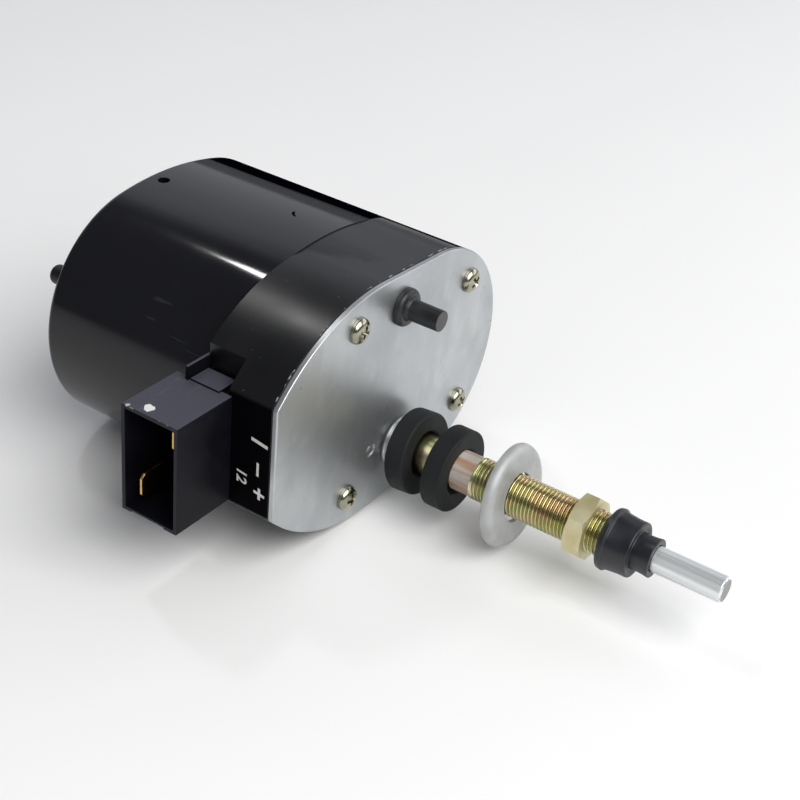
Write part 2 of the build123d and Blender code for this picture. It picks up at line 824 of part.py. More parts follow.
# Cup washer pressed from sheet, flat side to the front, leaning a little on its thread
washer_pivot = Location((washer_start + washer_depth / 2, 0, -washer_drop))
with BuildPart() as cup_washer:
    add(ring(-washer_depth / 2, washer_depth / 2, washer_radius, 0))
    fillet(cup_washer.edges().group_by(Axis.X)[-1], radius=washer_rim_radius)
    with BuildSketch(Plane.YZ.offset(-washer_depth / 2)):
        Circle(washer_radius - washer_thick)
    extrude(amount=washer_depth - washer_thick, mode=Mode.SUBTRACT)
    with BuildSketch(Plane.YZ.offset(-washer_depth / 2)):
        Circle(washer_hole_radius)
    extrude(amount=washer_depth, mode=Mode.SUBTRACT)
save(cup_washer.part.moved(washer_pivot * Location((0, 0, 0), (0, -washer_tilt, 0))), "cup_washer")

# Spindle nut with turned corners
nut_corner = nut_across_flats / sqrt(3)
nut_bevel = 1.02 * nut_corner - nut_across_flats / 2
with BuildPart() as spindle_nut:
    add(ring(nut_start, nut_start + nut_thick, 1.02 * nut_corner, 0))
    chamfer(spindle_nut.edges().filter_by(GeomType.CIRCLE),
            length=nut_bevel * tan(radians(nut_chamfer_angle)), length2=nut_bevel)
    with BuildSketch(Plane.YZ.offset(nut_start)):
        RegularPolygon(radius=nut_corner, side_count=6, rotation=nut_turn)
    extrude(amount=nut_thick, mode=Mode.INTERSECT)
    with BuildSketch(Plane.YZ.offset(nut_start)):
        Circle(thread_radius + press_gap)
    extrude(amount=nut_thick, mode=Mode.SUBTRACT)
save(spindle_nut.part, "spindle_nut")

# Rubber boot that seals the spindle's end
with BuildPart() as shaft_boot:
    with BuildSketch(Plane.XY):
        with BuildLine():
            Polyline(
                (boot_start, thread_radius + press_gap),
                (boot_start, boot_lip_radius),
                (boot_start + boot_lip_length, boot_lip_radius),
                (boot_start + boot_lip_length, boot_back_radius),
                (boot_step, boot_front_radius),
                (boot_step, boot_nose_radius),
                (boot_end, boot_nose_radius),
                (boot_end, shaft_radius + boot_grip),
                (boot_step - boot_wall, shaft_radius + boot_grip),
                (boot_step - boot_wall, thread_radius + press_gap),
                close=True,
            )
        make_face()
    revolve(axis=Axis.X)
    fillet(shaft_boot.edges().filter_by(lambda edge: edge.length > 2 * pi * (boot_nose_radius - 0.01)
                                        and abs(edge.length - 2 * pi * (thread_radius + press_gap)) > 0.1),
           radius=boot_edge_radius)
save(shaft_boot.part, "shaft_boot")

# Terminal blades, and the connector shell moulded round them
with BuildPart() as terminal_blades:
    add(blade(low_blade_x, low_blade_tip_y, low_blade_z, low_blade_inner_x))
    add(blade(high_blade_x, high_blade_tip_y, high_blade_z, high_blade_x))
save(terminal_blades.part, "terminal_blades")

opening_y = flat_y - socket_depth
with BuildPart() as connector_shell:
    add(block(socket_back_x, socket_front_x, opening_y, flat_y, socket_low_z, socket_high_z))
    fillet(connector_shell.edges().filter_by(Axis.Y), radius=socket_edge_radius)
    add(block(tongue_back_x, tongue_front_x, flat_y - socket_wall, flat_y + tongue_length,
              tongue_low_z, tongue_high_z))
    add(block(housing_back - fin_thick, housing_back, flat_y - fin_overlap, flat_y - fin_overlap + fin_length,
              tongue_low_z, fin_high_z))
    add(block(neck_back_x, neck_front_x, flat_y - 1, flat_y + housing_wall + neck_inside,
              body_mid - neck_half_height, body_mid + neck_half_height))
    add(block(socket_back_x + socket_wall, socket_front_x - socket_wall, opening_y, flat_y - socket_floor,
              socket_low_z + socket_wall, socket_high_z - socket_wall), mode=Mode.SUBTRACT)
    add(block(lip_notch_back_x, lip_notch_front_x, opening_y, opening_y + 1.5,
              socket_low_z, socket_low_z + lip_notch_depth), mode=Mode.SUBTRACT)
    add(terminal_blades.part, mode=Mode.SUBTRACT)
save(connector_shell.part, "connector_shell")

# Park contact strips, and the board that carries them on the blades' tails
strip_front = crank_back - contact_gap
strip_end_y = crank_centre[0] - (park_outer_radius + park_inner_radius) / 2
with BuildPart() as park_contacts:
    for side in (-1, 1):
        strip_z = crank_centre[1] + side * contact_strip_half_pitch
        add(block(strip_front - contact_strip_thick, strip_front,
                  board_front_y, strip_end_y + contact_strip_width / 2,
                  strip_z - contact_strip_width / 2, strip_z + contact_strip_width / 2))
save(park_contacts.part, "park_contacts")

with BuildPart() as contact_board:
    add(block(floor_front, board_front_x, board_front_y, board_front_y + board_thick,
              body_mid - board_half_height, body_mid + board_half_height))
    add(terminal_blades.part, mode=Mode.SUBTRACT)
    add(park_contacts.part, mode=Mode.SUBTRACT)
save(contact_board.part, "contact_board")

# Armature: shaft, pinion, laminated core, windings and commutator
armature_back = can_back - rear_boss_length + can_wall + 0.4
with BuildPart() as armature_shaft:
    add(ring(armature_back, bearing_front, motor_shaft_radius, 0, motor_centre))
    add(ring(bearing_front, first_wheel_front, journal_radius, 0, motor_centre))
save(armature_shaft.part, "armature_shaft")

with BuildPart() as drive_pinion:
    with BuildSketch(Plane.YZ.offset(first_wheel_back)):
        add(moved_to(gear_face(pinion_teeth, first_module, 0, pinion_addendum), motor_centre))
        with at(motor_centre):
            Circle(journal_radius + press_gap, mode=Mode.SUBTRACT)
    extrude(amount=first_wheel_thick)
save(drive_pinion.part, "drive_pinion")

slot_middle = core_radius - slot_depth / 2
with BuildPart() as armature_core:
    with BuildSketch(Plane.YZ.offset(core_back)):
        with at(motor_centre):
            Circle(core_radius)
            Circle(motor_shaft_radius + press_gap, mode=Mode.SUBTRACT)
            with PolarLocations(slot_middle + 1, core_slots):
                Rectangle(slot_depth + 2, slot_width, mode=Mode.SUBTRACT)
    extrude(amount=core_length)
save(armature_core.part, "armature_core")

with BuildPart() as armature_windings:
    with BuildSketch(Plane.YZ.offset(core_back)):
        with at(motor_centre):
            with PolarLocations(slot_middle - slot_lining, core_slots):
                Rectangle(slot_depth - 2, slot_width - 2 * slot_lining)
    extrude(amount=core_length)
    for start in (core_back - winding_overhang, core_front):
        with BuildSketch(Plane.YZ.offset(start)):
            with at(motor_centre):
                Circle(winding_radius)
                Circle(winding_hub_radius, mode=Mode.SUBTRACT)
        extrude(amount=winding_overhang)
save(armature_windings.part, "armature_windings")

with BuildPart() as commutator:
    with BuildSketch(Plane.YZ.offset(commutator_back)):
        with at(motor_centre):
            Circle(commutator_radius)
            Circle(motor_shaft_radius + press_gap, mode=Mode.SUBTRACT)
            with PolarLocations(commutator_radius, core_slots, start_angle=180 / core_slots):
                Rectangle(2 * commutator_slit_depth, commutator_slit, mode=Mode.SUBTRACT)
    extrude(amount=commutator_length)
save(commutator.part, "commutator")

# Armature bearings
shaft_bore = motor_shaft_radius + running_fit
bearing_outer = motor_bearing_radius - press_gap
save(ring(bearing_back, bearing_front, bearing_outer, shaft_bore, motor_centre), "front_bearing")
rear_bearing_back = can_back - rear_boss_length + can_wall
save(ring(rear_bearing_back, can_inside, bearing_outer, shaft_bore, motor_centre), "rear_bearing")

# Yoke ring and field magnets
save(ring(core_back - yoke_overlap, core_front + yoke_overlap, yoke_outer, yoke_inner, motor_centre),
     "yoke_ring")
with BuildPart() as field_magnets:
    with BuildSketch(Plane.YZ.offset(core_back - magnet_overlap)):
        add(arc_band(magnet_outer, magnet_inner, motor_centre, 90, magnet_span))
        add(arc_band(magnet_outer, magnet_inner, motor_centre, 270, magnet_span))
    extrude(amount=core_length + 2 * magnet_overlap)
save(field_magnets.part, "field_magnets")

# Brush gear on the front boss
save(ring(brush_plate_back, bearing_back, brush_plate_radius, brush_plate_hole, motor_centre), "brush_plate")
holder_height = holder_base + holder_wall + brush_height + 2 * holder_fit
brush_back = brush_plate_back - holder_base - holder_fit - brush_height
brush_inner = commutator_radius + contact_gap
spring_front = brush_back + (brush_height + spring_height) / 2
with BuildPart() as brush_holders:
    with BuildSketch(Plane.YZ.offset(brush_plate_back - holder_height)):
        with at(motor_centre):
            with PolarLocations(holder_start + holder_length / 2, 2):
                Rectangle(holder_length, brush_width + 2 * (holder_fit + holder_wall))
    extrude(amount=holder_height)
    with BuildSketch(Plane.YZ.offset(brush_back - holder_fit)):
        with at(motor_centre):
            with PolarLocations(holder_start + (holder_length - holder_wall) / 2, 2):
                Rectangle(holder_length - holder_wall, brush_width + 2 * holder_fit)
    extrude(amount=brush_height + 2 * holder_fit, mode=Mode.SUBTRACT)
save(brush_holders.part, "brush_holders")

with BuildPart() as carbon_brushes:
    with BuildSketch(Plane.YZ.offset(brush_back)):
        with at(motor_centre):
            with PolarLocations(brush_inner + brush_length / 2, 2):
                Rectangle(brush_length, brush_width)
    extrude(amount=brush_height)
save(carbon_brushes.part, "carbon_brushes")

spring_from = brush_inner + brush_length
spring_to = holder_start + holder_length - holder_wall
with BuildPart() as brush_springs:
    for side in (-1, 1):
        fold_points = []
        for fold in range(spring_folds + 1):
            reach = (spring_from + spring_thick
                     + (spring_to - spring_from - 2 * spring_thick) * fold / spring_folds)
            swing = spring_width / 2 if fold % 2 else -spring_width / 2
            fold_points.append((motor_y + side * reach, body_mid + swing))
        with BuildSketch(Plane.YZ.offset(spring_front - spring_height)):
            with BuildLine():
                Polyline(*fold_points)
            trace(line_width=spring_thick)
        extrude(amount=spring_height)
save(brush_springs.part, "brush_springs")

# Reduction gear and its axle
with BuildPart() as reduction_gear:
    with BuildSketch(Plane.YZ.offset(first_wheel_back)):
        add(moved_to(gear_face(wheel_teeth, first_module, 180 + 180 / wheel_teeth, wheel_addendum),
                     first_centre))
    extrude(amount=first_wheel_thick)
    with BuildSketch(Plane.YZ.offset(first_wheel_front)):
        add(moved_to(gear_face(pinion_teeth, second_module, second_angle, pinion_addendum), first_centre))
    extrude(amount=crank_front - first_wheel_front)
    with BuildSketch(Plane.YZ.offset(first_wheel_back)):
        with at(first_centre):
            Circle(first_pin_radius + running_fit)
    extrude(amount=crank_front - first_wheel_back, mode=Mode.SUBTRACT)
save(reduction_gear.part, "reduction_gear")
save(ring(housing_back, crank_front, first_pin_radius - press_gap, 0, first_centre), "reduction_axle")

# Crank gear with its axle, its pin and the park ring
park_arc = open_ring(park_outer_radius, park_inner_radius, crank_centre, park_opening_angle, park_opening)
with BuildPart() as crank_gear:
    with BuildSketch(Plane.YZ.offset(crank_back)):
        add(moved_to(
            gear_face(wheel_teeth, second_module, second_angle + 180 + 180 / wheel_teeth, wheel_addendum),
            crank_centre,
        ))
        with at(crank_centre):
            Circle(crank_axle_radius + running_fit, mode=Mode.SUBTRACT)
        with at(crank_pin):
            Circle(crank_pin_radius + press_gap, mode=Mode.SUBTRACT)
    extrude(amount=second_wheel_thick)
    with BuildSketch(Plane.YZ.offset(crank_front - web_depth)):
        with at(crank_centre):
            Circle(web_outer_radius)
            Circle(web_inner_radius, mode=Mode.SUBTRACT)
    extrude(amount=web_depth, mode=Mode.SUBTRACT)
    with BuildSketch(Plane.YZ.offset(crank_back)):
        add(park_arc)
    extrude(amount=park_thick, mode=Mode.SUBTRACT)
save(crank_gear.part, "crank_gear")
save(ring(housing_back, crank_front, crank_axle_radius - press_gap, 0, crank_centre), "crank_axle")
save(ring(crank_back, rod_clip_front + 0.1, crank_pin_radius, 0, crank_pin), "crank_pin")

with BuildPart() as park_ring:
    with BuildSketch(Plane.YZ.offset(crank_back)):
        add(park_arc)
    extrude(amount=park_thick)
save(park_ring.part, "park_ring")

# Connecting rod and the clip that keeps it on the crank pin
with BuildPart() as connecting_rod:
    with BuildSketch(Plane.YZ.offset(rod_back)):
        with BuildLine():
            Line(crank_pin, lever_tip)
        trace(line_width=rod_width)
        with Locations(crank_pin, lever_tip):
            Circle(rod_eye_radius)
        with at(crank_pin):
            Circle(crank_pin_radius + running_fit, mode=Mode.SUBTRACT)
        with at(lever_tip):
            Circle(lever_pin_radius + running_fit, mode=Mode.SUBTRACT)
    extrude(amount=rod_thick)
save(connecting_rod.part, "connecting_rod")
save(ring(rod_clip_front - rod_clip_thick, rod_clip_front, rod_clip_radius,
          crank_pin_radius + press_gap, crank_pin),
     "rod_clip")

# Through bolts that clamp the can to the housing
with BuildPart() as through_bolts:
    with BuildSketch(Plane.YZ.offset(can_back)):
        with Locations(*bolt_places):
            Circle(bolt_radius - press_gap)
    extrude(amount=floor_front + bolt_boss_length - 1 - can_back)
    with BuildSketch(Plane.YZ.offset(can_back - bolt_head_height)):
        with Locations(*bolt_places):
            Circle(bolt_head_radius)
    extrude(amount=bolt_head_height)
    fillet(through_bolts.edges().filter_by(GeomType.CIRCLE).group_by(Axis.X)[0],
           radius=0.3 * bolt_head_height)
save(through_bolts.part, "through_bolts")
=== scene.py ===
# %% [markdown]
# # A wiper motor with a threaded spindle
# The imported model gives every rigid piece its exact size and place. This notebook loads it as a
# frame, dresses each piece with the shape and the finish that the real one shows, and lights it
# like a photograph of a product on a pale table.

# %% Load the frame
from math import cos, hypot, pi, radians, sin

import bmesh
import bpy
from mathutils import Matrix, Vector


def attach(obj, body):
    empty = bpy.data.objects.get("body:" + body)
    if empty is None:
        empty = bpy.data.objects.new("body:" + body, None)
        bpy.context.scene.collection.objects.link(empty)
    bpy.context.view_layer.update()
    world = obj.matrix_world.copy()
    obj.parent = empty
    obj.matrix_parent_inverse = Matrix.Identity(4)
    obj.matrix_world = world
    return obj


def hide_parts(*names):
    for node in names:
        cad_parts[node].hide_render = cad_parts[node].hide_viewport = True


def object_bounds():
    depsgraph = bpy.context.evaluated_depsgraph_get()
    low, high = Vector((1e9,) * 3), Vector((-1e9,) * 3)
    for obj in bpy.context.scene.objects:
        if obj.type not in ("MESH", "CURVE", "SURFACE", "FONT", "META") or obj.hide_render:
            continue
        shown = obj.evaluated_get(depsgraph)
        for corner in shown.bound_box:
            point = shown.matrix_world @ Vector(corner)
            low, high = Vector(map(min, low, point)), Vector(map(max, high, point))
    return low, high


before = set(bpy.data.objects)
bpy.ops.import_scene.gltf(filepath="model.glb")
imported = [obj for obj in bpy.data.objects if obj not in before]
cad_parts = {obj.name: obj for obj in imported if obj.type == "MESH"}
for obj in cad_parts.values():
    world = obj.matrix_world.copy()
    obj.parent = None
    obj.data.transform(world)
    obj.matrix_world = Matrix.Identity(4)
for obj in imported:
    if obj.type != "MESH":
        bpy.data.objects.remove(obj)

MM = 0.001
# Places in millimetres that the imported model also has
BODY_MID = 20.6
STUD_AXIS = (-2.2, 47.9)
FLAT_Y = -60.4
cad_box = [[float(v) for v in corner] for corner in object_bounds()]
print("CAD box in mm:", [[round(v * 1000, 1) for v in corner] for corner in cad_box])


# %% Helper that puts a new object in the scene
def new_object(name, data):
    """An object with this data, linked to the scene."""
    item = bpy.data.objects.new(name, data)
    bpy.context.scene.collection.objects.link(item)
    return item


# %% [markdown]
# ## The camera first
# The photograph was taken with a longish lens from above the front corner. The camera is placed
# by its position and by three directions: where its right, its top and its back point. Setting it
# before any piece means that each render can be laid beside the photograph. The Standard view keeps
# black paint black and the table white, as the studio picture does.

# %% Camera
camera_place = Vector((218.16, -349.60, 273.54)) * MM
camera_right = Vector((0.8178, 0.5698, 0.0814))
camera_up = Vector((-0.3617, 0.3987, 0.8427))
camera_back = Vector((0.4477, -0.7186, 0.5322))
camera_data = bpy.data.cameras.new("product_camera")
camera_data.sensor_width = 36.0
camera_data.lens = 72.353
camera_data.clip_start = 0.01
camera = new_object("product_camera", camera_data)
turn = Matrix((camera_right, camera_up, camera_back)).transposed()
camera.matrix_world = Matrix.Translation(camera_place) @ turn.to_4x4()
bpy.context.scene.camera = camera
bpy.context.scene.view_settings.view_transform = "Standard"
print("camera is", round(camera_place.length * 1000), "mm from the origin")

# %% [markdown]
# ## Table and light
# Gloss black paint shows only what it reflects, so the light is built from what the paint shows: a
# wide ceiling panel behind the motor gives the grey band on top, and strips that fade towards the
# camera soften its near edge. A small lamp gives the bright wedge near the housing, and the pale
# table gives the band low down. Between them the room is dim, which keeps the can's middle black.

# %% Table
FLOOR_Z = cad_box[0][2] - 0.3 * MM


def table_top():
    """A plain pale floor that reaches out of the camera's view."""
    mesh = bpy.data.meshes.new("table_top")
    reach = 4.0
    corners = [(-reach, -reach), (reach, -reach), (reach, reach), (-reach, reach)]
    mesh.from_pydata([(x, y, FLOOR_Z) for x, y in corners], [], [(0, 1, 2, 3)])
    table = new_object("table_top", mesh)
    return table


floor = table_top()


# %% Lamps
def soft_panel(name, place, facing, along, size, glow, tint=(1.0, 1.0, 1.0)):
    """A rectangular lamp: place and size in millimetres, glow is its brightness."""
    data = bpy.data.lights.new(name, "AREA")
    data.shape = "RECTANGLE"
    data.size, data.size_y = size[0] * MM, size[1] * MM
    data.energy = glow * pi * data.size * data.size_y
    data.color = tint
    lamp = new_object(name, data)
    back = -Vector(facing).normalized()
    right = (Vector(along) - Vector(along).dot(back) * back).normalized()
    turn = Matrix((right, back.cross(right), back)).transposed().to_4x4()
    lamp.matrix_world = Matrix.Translation(Vector(place) * MM) @ turn
    return lamp


DOWN = (0, 0, -1)
CEILING_Z = 900
CEILING_ALONG = (0.79, 0.61, 0)
CEILING_GLOW = 0.57
CEILING_TINT = (0.90, 0.92, 1.0)
STRIP_COUNT = 6
STRIP_WIDTH = 70
FIRST_STRIP = 300

# Each strip lies farther from the camera than the one before and is brighter
for step in range(STRIP_COUNT):
    away = FIRST_STRIP + STRIP_WIDTH * (step + 0.5)
    place = (-410 - 0.61 * away, 239 + 0.79 * away, CEILING_Z)
    share = (step + 0.7) / (STRIP_COUNT + 0.5)
    soft_panel("fade_strip", place, DOWN, CEILING_ALONG, (2400, STRIP_WIDTH), CEILING_GLOW * share,
               CEILING_TINT)
soft_panel("ceiling_panel", (-1944, 1680, CEILING_Z), DOWN, CEILING_ALONG, (2400, 3500), CEILING_GLOW,
           CEILING_TINT)
soft_panel("wedge_lamp", (-550, 120, 880), (0.55, -0.1, -0.83), (0.66, 0.75, 0), (48, 110), 46.0)
soft_panel("front_panel", (800, -250, 950), (-0.62, 0.2, -0.75), (0, 1, 0), (1300, 900), 4.6,
           (1.0, 0.99, 0.97))
soft_panel("right_panel", (500, 900, 500), (-0.45, -0.8, -0.4), (1, 0, 0), (1100, 600), 1.6)

world = bpy.data.worlds.new("studio")
bpy.context.scene.world = world
world.use_nodes = True
world.node_tree.nodes["Background"].inputs["Color"].default_value = (0.92, 0.95, 1.0, 1.0)
world.node_tree.nodes["Background"].inputs["Strength"].default_value = 0.20

# %% [markdown]
# ## Finishes
# Each finish is a Principled shader with two patterns on Object coordinates. One is broad and
# changes the colour and the roughness a little, as plating and paint vary. The other is fine and
# only lifts the surface, as grain, orange peel or moulded texture does.


# %% Helper that builds a finish
def link_noise(tree, coords, scale, detail, stretch=(1, 1, 1), roughness=0.5):
    """A noise texture on the piece's own coordinates, in 1/m."""
    mapping = tree.nodes.new("ShaderNodeMapping")
    mapping.inputs["Scale"].default_value = stretch
    tree.links.new(coords.outputs["Object"], mapping.inputs["Vector"])
    noise = tree.nodes.new("ShaderNodeTexNoise")
    noise.inputs["Scale"].default_value = scale
    noise.inputs["Detail"].default_value = detail
    noise.inputs["Roughness"].default_value = roughness
    tree.links.new(mapping.outputs["Vector"], noise.inputs["Vector"])
    return noise


def ramp_between(tree, source, stops):
    """A colour ramp over a pattern, with stops as (position, colour)."""
    ramp = tree.nodes.new("ShaderNodeValToRGB")
    elements = ramp.color_ramp.elements
    while len(elements) < len(stops):
        elements.new(0.5)
    for element, (position, colour) in zip(elements, stops):
        element.position = position
        element.color = (*colour, 1.0)
    tree.links.new(source, ramp.inputs["Fac"])
    return ramp


def rise(tree, source, start, full, low=0.0, high=1.0):
    """A value that goes from low to high while the source goes from start to full."""
    node = tree.nodes.new("ShaderNodeMapRange")
    for socket, value in (("From Min", start), ("From Max", full), ("To Min", low), ("To Max", high)):
        node.inputs[socket].default_value = value
    tree.links.new(source, node.inputs["Value"])
    return node.outputs["Result"]


def finish(name, colours, rough, metallic=0.0, broad=40.0, broad_detail=4.0, stretch=(1, 1, 1),
           grain=1500.0, grain_depth=0.02, grain_stretch=(1, 1, 1), specular=0.5):
    """A named finish from two or more colours, a roughness range and a fine grain.

    Broad and grain are the scales of the two patterns in 1/m, and grain_depth is in millimetres.
    """
    material = bpy.data.materials.new(name)
    material.use_nodes = True
    tree = material.node_tree
    shader = tree.nodes["Principled BSDF"]
    coords = tree.nodes.new("ShaderNodeTexCoord")
    patches = link_noise(tree, coords, broad, broad_detail, stretch)
    count = len(colours) - 1
    stops = [(0.3 + 0.4 * i / count, colour) for i, colour in enumerate(colours)]
    ramp = ramp_between(tree, patches.outputs["Fac"], stops)
    tree.links.new(ramp.outputs["Color"], shader.inputs["Base Color"])
    tree.links.new(rise(tree, patches.outputs["Fac"], 0.3, 0.7, *rough), shader.inputs["Roughness"])
    fine = link_noise(tree, coords, grain, 3.0, grain_stretch, 0.6)
    bump = tree.nodes.new("ShaderNodeBump")
    bump.inputs["Strength"].default_value = 1.0
    bump.inputs["Distance"].default_value = grain_depth * MM
    tree.links.new(fine.outputs["Fac"], bump.inputs["Height"])
    tree.links.new(bump.outputs["Normal"], shader.inputs["Normal"])
    shader.inputs["Metallic"].default_value = metallic
    shader.inputs["Specular IOR Level"].default_value = specular
    return material


# %% Helpers for marks that sit at one place
def spot_mask(tree, coords, centre, radius, edge, ragged=0.0, ragged_scale=900.0):
    """1 inside a ball at centre, in millimetres, with an edge that noise makes ragged."""
    away = tree.nodes.new("ShaderNodeVectorMath")
    away.operation = "DISTANCE"
    away.inputs[1].default_value = [v * MM for v in centre]
    tree.links.new(coords.outputs["Object"], away.inputs[0])
    source = away.outputs["Value"]
    if ragged:
        noise = link_noise(tree, coords, ragged_scale, 3.0)
        shift = tree.nodes.new("ShaderNodeMath")
        shift.operation = "MULTIPLY_ADD"
        shift.inputs[1].default_value = ragged * MM
        tree.links.new(noise.outputs["Fac"], shift.inputs[0])
        tree.links.new(source, shift.inputs[2])
        source = shift.outputs["Value"]
    return rise(tree, source, (radius + edge) * MM, radius * MM)


def combine(tree, operation, first, second):
    """One maths step between two masks, or a mask and a number."""
    node = tree.nodes.new("ShaderNodeMath")
    node.operation = operation
    for socket, value in zip(node.inputs, (first, second)):
        if isinstance(value, float):
            socket.default_value = value
        else:
            tree.links.new(value, socket)
    node.use_clamp = True
    return node.outputs["Value"]


def both(tree, first, *others):
    """The product of masks, or of a mask and a number that weakens it."""
    for other in others:
        first = combine(tree, "MULTIPLY", first, other)
    return first


def paint_over(material, mask, colour, rough, specular=None):
    """Lay a second colour, roughness and perhaps shine over a finish where the mask is 1."""
    tree = material.node_tree
    shader = tree.nodes["Principled BSDF"]
    layers = [("Base Color", (*colour, 1.0)), ("Roughness", rough)]
    if specular is not None:
        layers.append(("Specular IOR Level", specular))
    for socket_name, value in layers:
        socket = shader.inputs[socket_name]
        mix = tree.nodes.new("ShaderNodeMix")
        mix.data_type = "RGBA" if socket_name == "Base Color" else "FLOAT"
        kind = "_Color" if socket_name == "Base Color" else "_Float"
        ports = {item.identifier: item for item in mix.inputs}
        tree.links.new(mask, ports["Factor_Float"])
        if socket.links:
            tree.links.new(socket.links[0].from_socket, ports["A" + kind])
        else:
            ports["A" + kind].default_value = socket.default_value
        ports["B" + kind].default_value = value
        result = {item.identifier: item for item in mix.outputs}["Result" + kind]
        tree.links.new(result, socket)


def noise_mask(tree, coords, scale, low, high, stretch=(1, 1, 1), detail=3.0):
    """1 where a noise rises from low to high."""
    return rise(tree, link_noise(tree, coords, scale, detail, stretch).outputs["Fac"], low, high)


def band_mask(tree, coords, axis, start, full):
    """0 at start and 1 at full, in millimetres along X, Y or Z."""
    split = tree.nodes.new("ShaderNodeSeparateXYZ")
    tree.links.new(coords.outputs["Object"], split.inputs["Vector"])
    return rise(tree, split.outputs[axis], start * MM, full * MM)


def facing_mask(tree, coords, axis, low, high):
    """1 where the piece's surface faces along X, Y or Z, either way, and 0 where it faces across."""
    split = tree.nodes.new("ShaderNodeSeparateXYZ")
    tree.links.new(coords.outputs["Normal"], split.inputs["Vector"])
    return rise(tree, combine(tree, "ABSOLUTE", split.outputs[axis], 0.0), low, high)


def far_shoulder_shade_mask(tree, coords, low, high):
    """1 along the far shoulder where it is seen at a glancing angle: there painted shade goes."""
    glance = tree.nodes.new("ShaderNodeLayerWeight")
    glance.inputs["Blend"].default_value = 0.5
    return both(tree, rise(tree, glance.outputs["Facing"], low, high),
                band_mask(tree, coords, "Z", 30.0, 36.0), band_mask(tree, coords, "Y", 12.0, 20.0))


def coordinates(material):
    """The Texture Coordinate node that the finish already has."""
    return next(node for node in material.node_tree.nodes if node.type == "TEX_COORD")


# %% [markdown]
# ## Black paints
# The can is sprayed gloss black: nearly no colour of its own, a smooth coat with very low waves,
# hair scratches and one chip. The housing under its connector is a casting with a duller coat, so
# the same lamp gives it a wide soft highlight. Where it meets the plate the paint is rubbed off.
# Behind the far shoulder of both the room is dark, so a mask paints that shoulder black and takes its
# shine off where it is seen at a glancing angle: a painted dark reflection.

# %% Gloss paint of the can
can_gloss = finish("can_gloss", [(0.0035, 0.0035, 0.0055), (0.0065, 0.0065, 0.0095)], (0.07, 0.13),
                   broad=28.0, grain=120.0, grain_depth=0.012, specular=0.40)
tree, coords = can_gloss.node_tree, coordinates(can_gloss)
scratches = noise_mask(tree, coords, 420.0, 0.70, 0.74, (0.12, 1.0, 1.4), 1.0)
where = noise_mask(tree, coords, 38.0, 0.52, 0.60)
paint_over(can_gloss, both(tree, scratches, where), (0.016, 0.017, 0.022), 0.30)
outer = spot_mask(tree, coords, (-43.9, 5.0, 60.0), 3.0, 0.1)
inner = spot_mask(tree, coords, (-43.2, 5.65, 60.0), 3.1, 0.1)
near = spot_mask(tree, coords, (-45.65, 3.4, 60.0), 1.95, 0.2, 0.3)
nick = both(tree, combine(tree, "SUBTRACT", outer, inner), near)
paint_over(can_gloss, nick, (0.001, 0.001, 0.001), 0.95, 0.0)
# Painted shade: the can's far shoulder is painted black and loses its shine at a glancing angle.
paint_over(can_gloss, far_shoulder_shade_mask(tree, coords, 0.66, 0.75), (0.001, 0.001, 0.002), 0.3, 0.0)

# %% Satin paint of the housing
housing_paint = finish("housing_paint", [(0.0025, 0.0025, 0.0035), (0.0055, 0.0055, 0.0065)],
                       (0.27, 0.34), broad=50.0, grain=900.0, grain_depth=0.004, specular=0.44)
tree, coords = housing_paint.node_tree, coordinates(housing_paint)
edge = band_mask(tree, coords, "X", -2.5, -2.2)
chips = noise_mask(tree, coords, 700.0, 0.56, 0.60, (1.0, 0.45, 0.45), 5.0)
paint_over(housing_paint, both(tree, edge, chips), (0.42, 0.41, 0.38), 0.4)
specks = noise_mask(tree, coords, 800.0, 0.735, 0.75)
paint_over(housing_paint, specks, (0.10, 0.10, 0.09), 0.5)
# Painted shade: the housing's flat is painted darker and nearly without shine, a painted dark reflection of
# the connector's side.
flat = band_mask(tree, coords, "Y", FLAT_Y + 0.5, FLAT_Y + 0.1)
paint_over(housing_paint, flat, (0.0020, 0.0020, 0.0030), 0.5, 0.01)
# Painted shade: the housing's far shoulder is painted black and loses its shine at a glancing angle.
paint_over(housing_paint, far_shoulder_shade_mask(tree, coords, 0.78, 0.86), (0.001, 0.001, 0.002), 0.3, 0.0)

# %% [markdown]
# ## Plated and bare metals
# Zinc plate is a dull mirror: a middle grey metal with clouds, faint rolling lines and small pits.
# Yellow chromate is a thin clear film over zinc that splits light into gold, green and pink, so its
# colour wanders along and round the spindle, and it is darker in the thread's roots. The plain shank
# has streaks along it, and its near-white streaks are painted reflections of the lamps.

# %% Zinc plate of the cover
zinc_plate = finish("zinc_plate", [(0.42, 0.44, 0.455), (0.49, 0.51, 0.525), (0.55, 0.57, 0.58)],
                    (0.42, 0.34), metallic=0.92, broad=40.0, broad_detail=5.0, stretch=(1.0, 1.0, 0.8),
                    grain=1900.0, grain_depth=0.003)
tree, coords = zinc_plate.node_tree, coordinates(zinc_plate)
pits = noise_mask(tree, coords, 560.0, 0.74, 0.77, (1.0, 1.0, 1.0), 2.0)
paint_over(zinc_plate, pits, (0.20, 0.19, 0.17), 0.6)
rubbed = noise_mask(tree, coords, 200.0, 0.58, 0.68, (1.0, 0.8, 0.7), 8.0)
paint_over(zinc_plate, both(tree, rubbed, 0.18), (0.66, 0.67, 0.66), 0.32)
dull = noise_mask(tree, coords, 90.0, 0.52, 0.66, (1.0, 1.0, 0.8), 8.0)
paint_over(zinc_plate, both(tree, dull, 0.30), (0.36, 0.385, 0.39), 0.46)

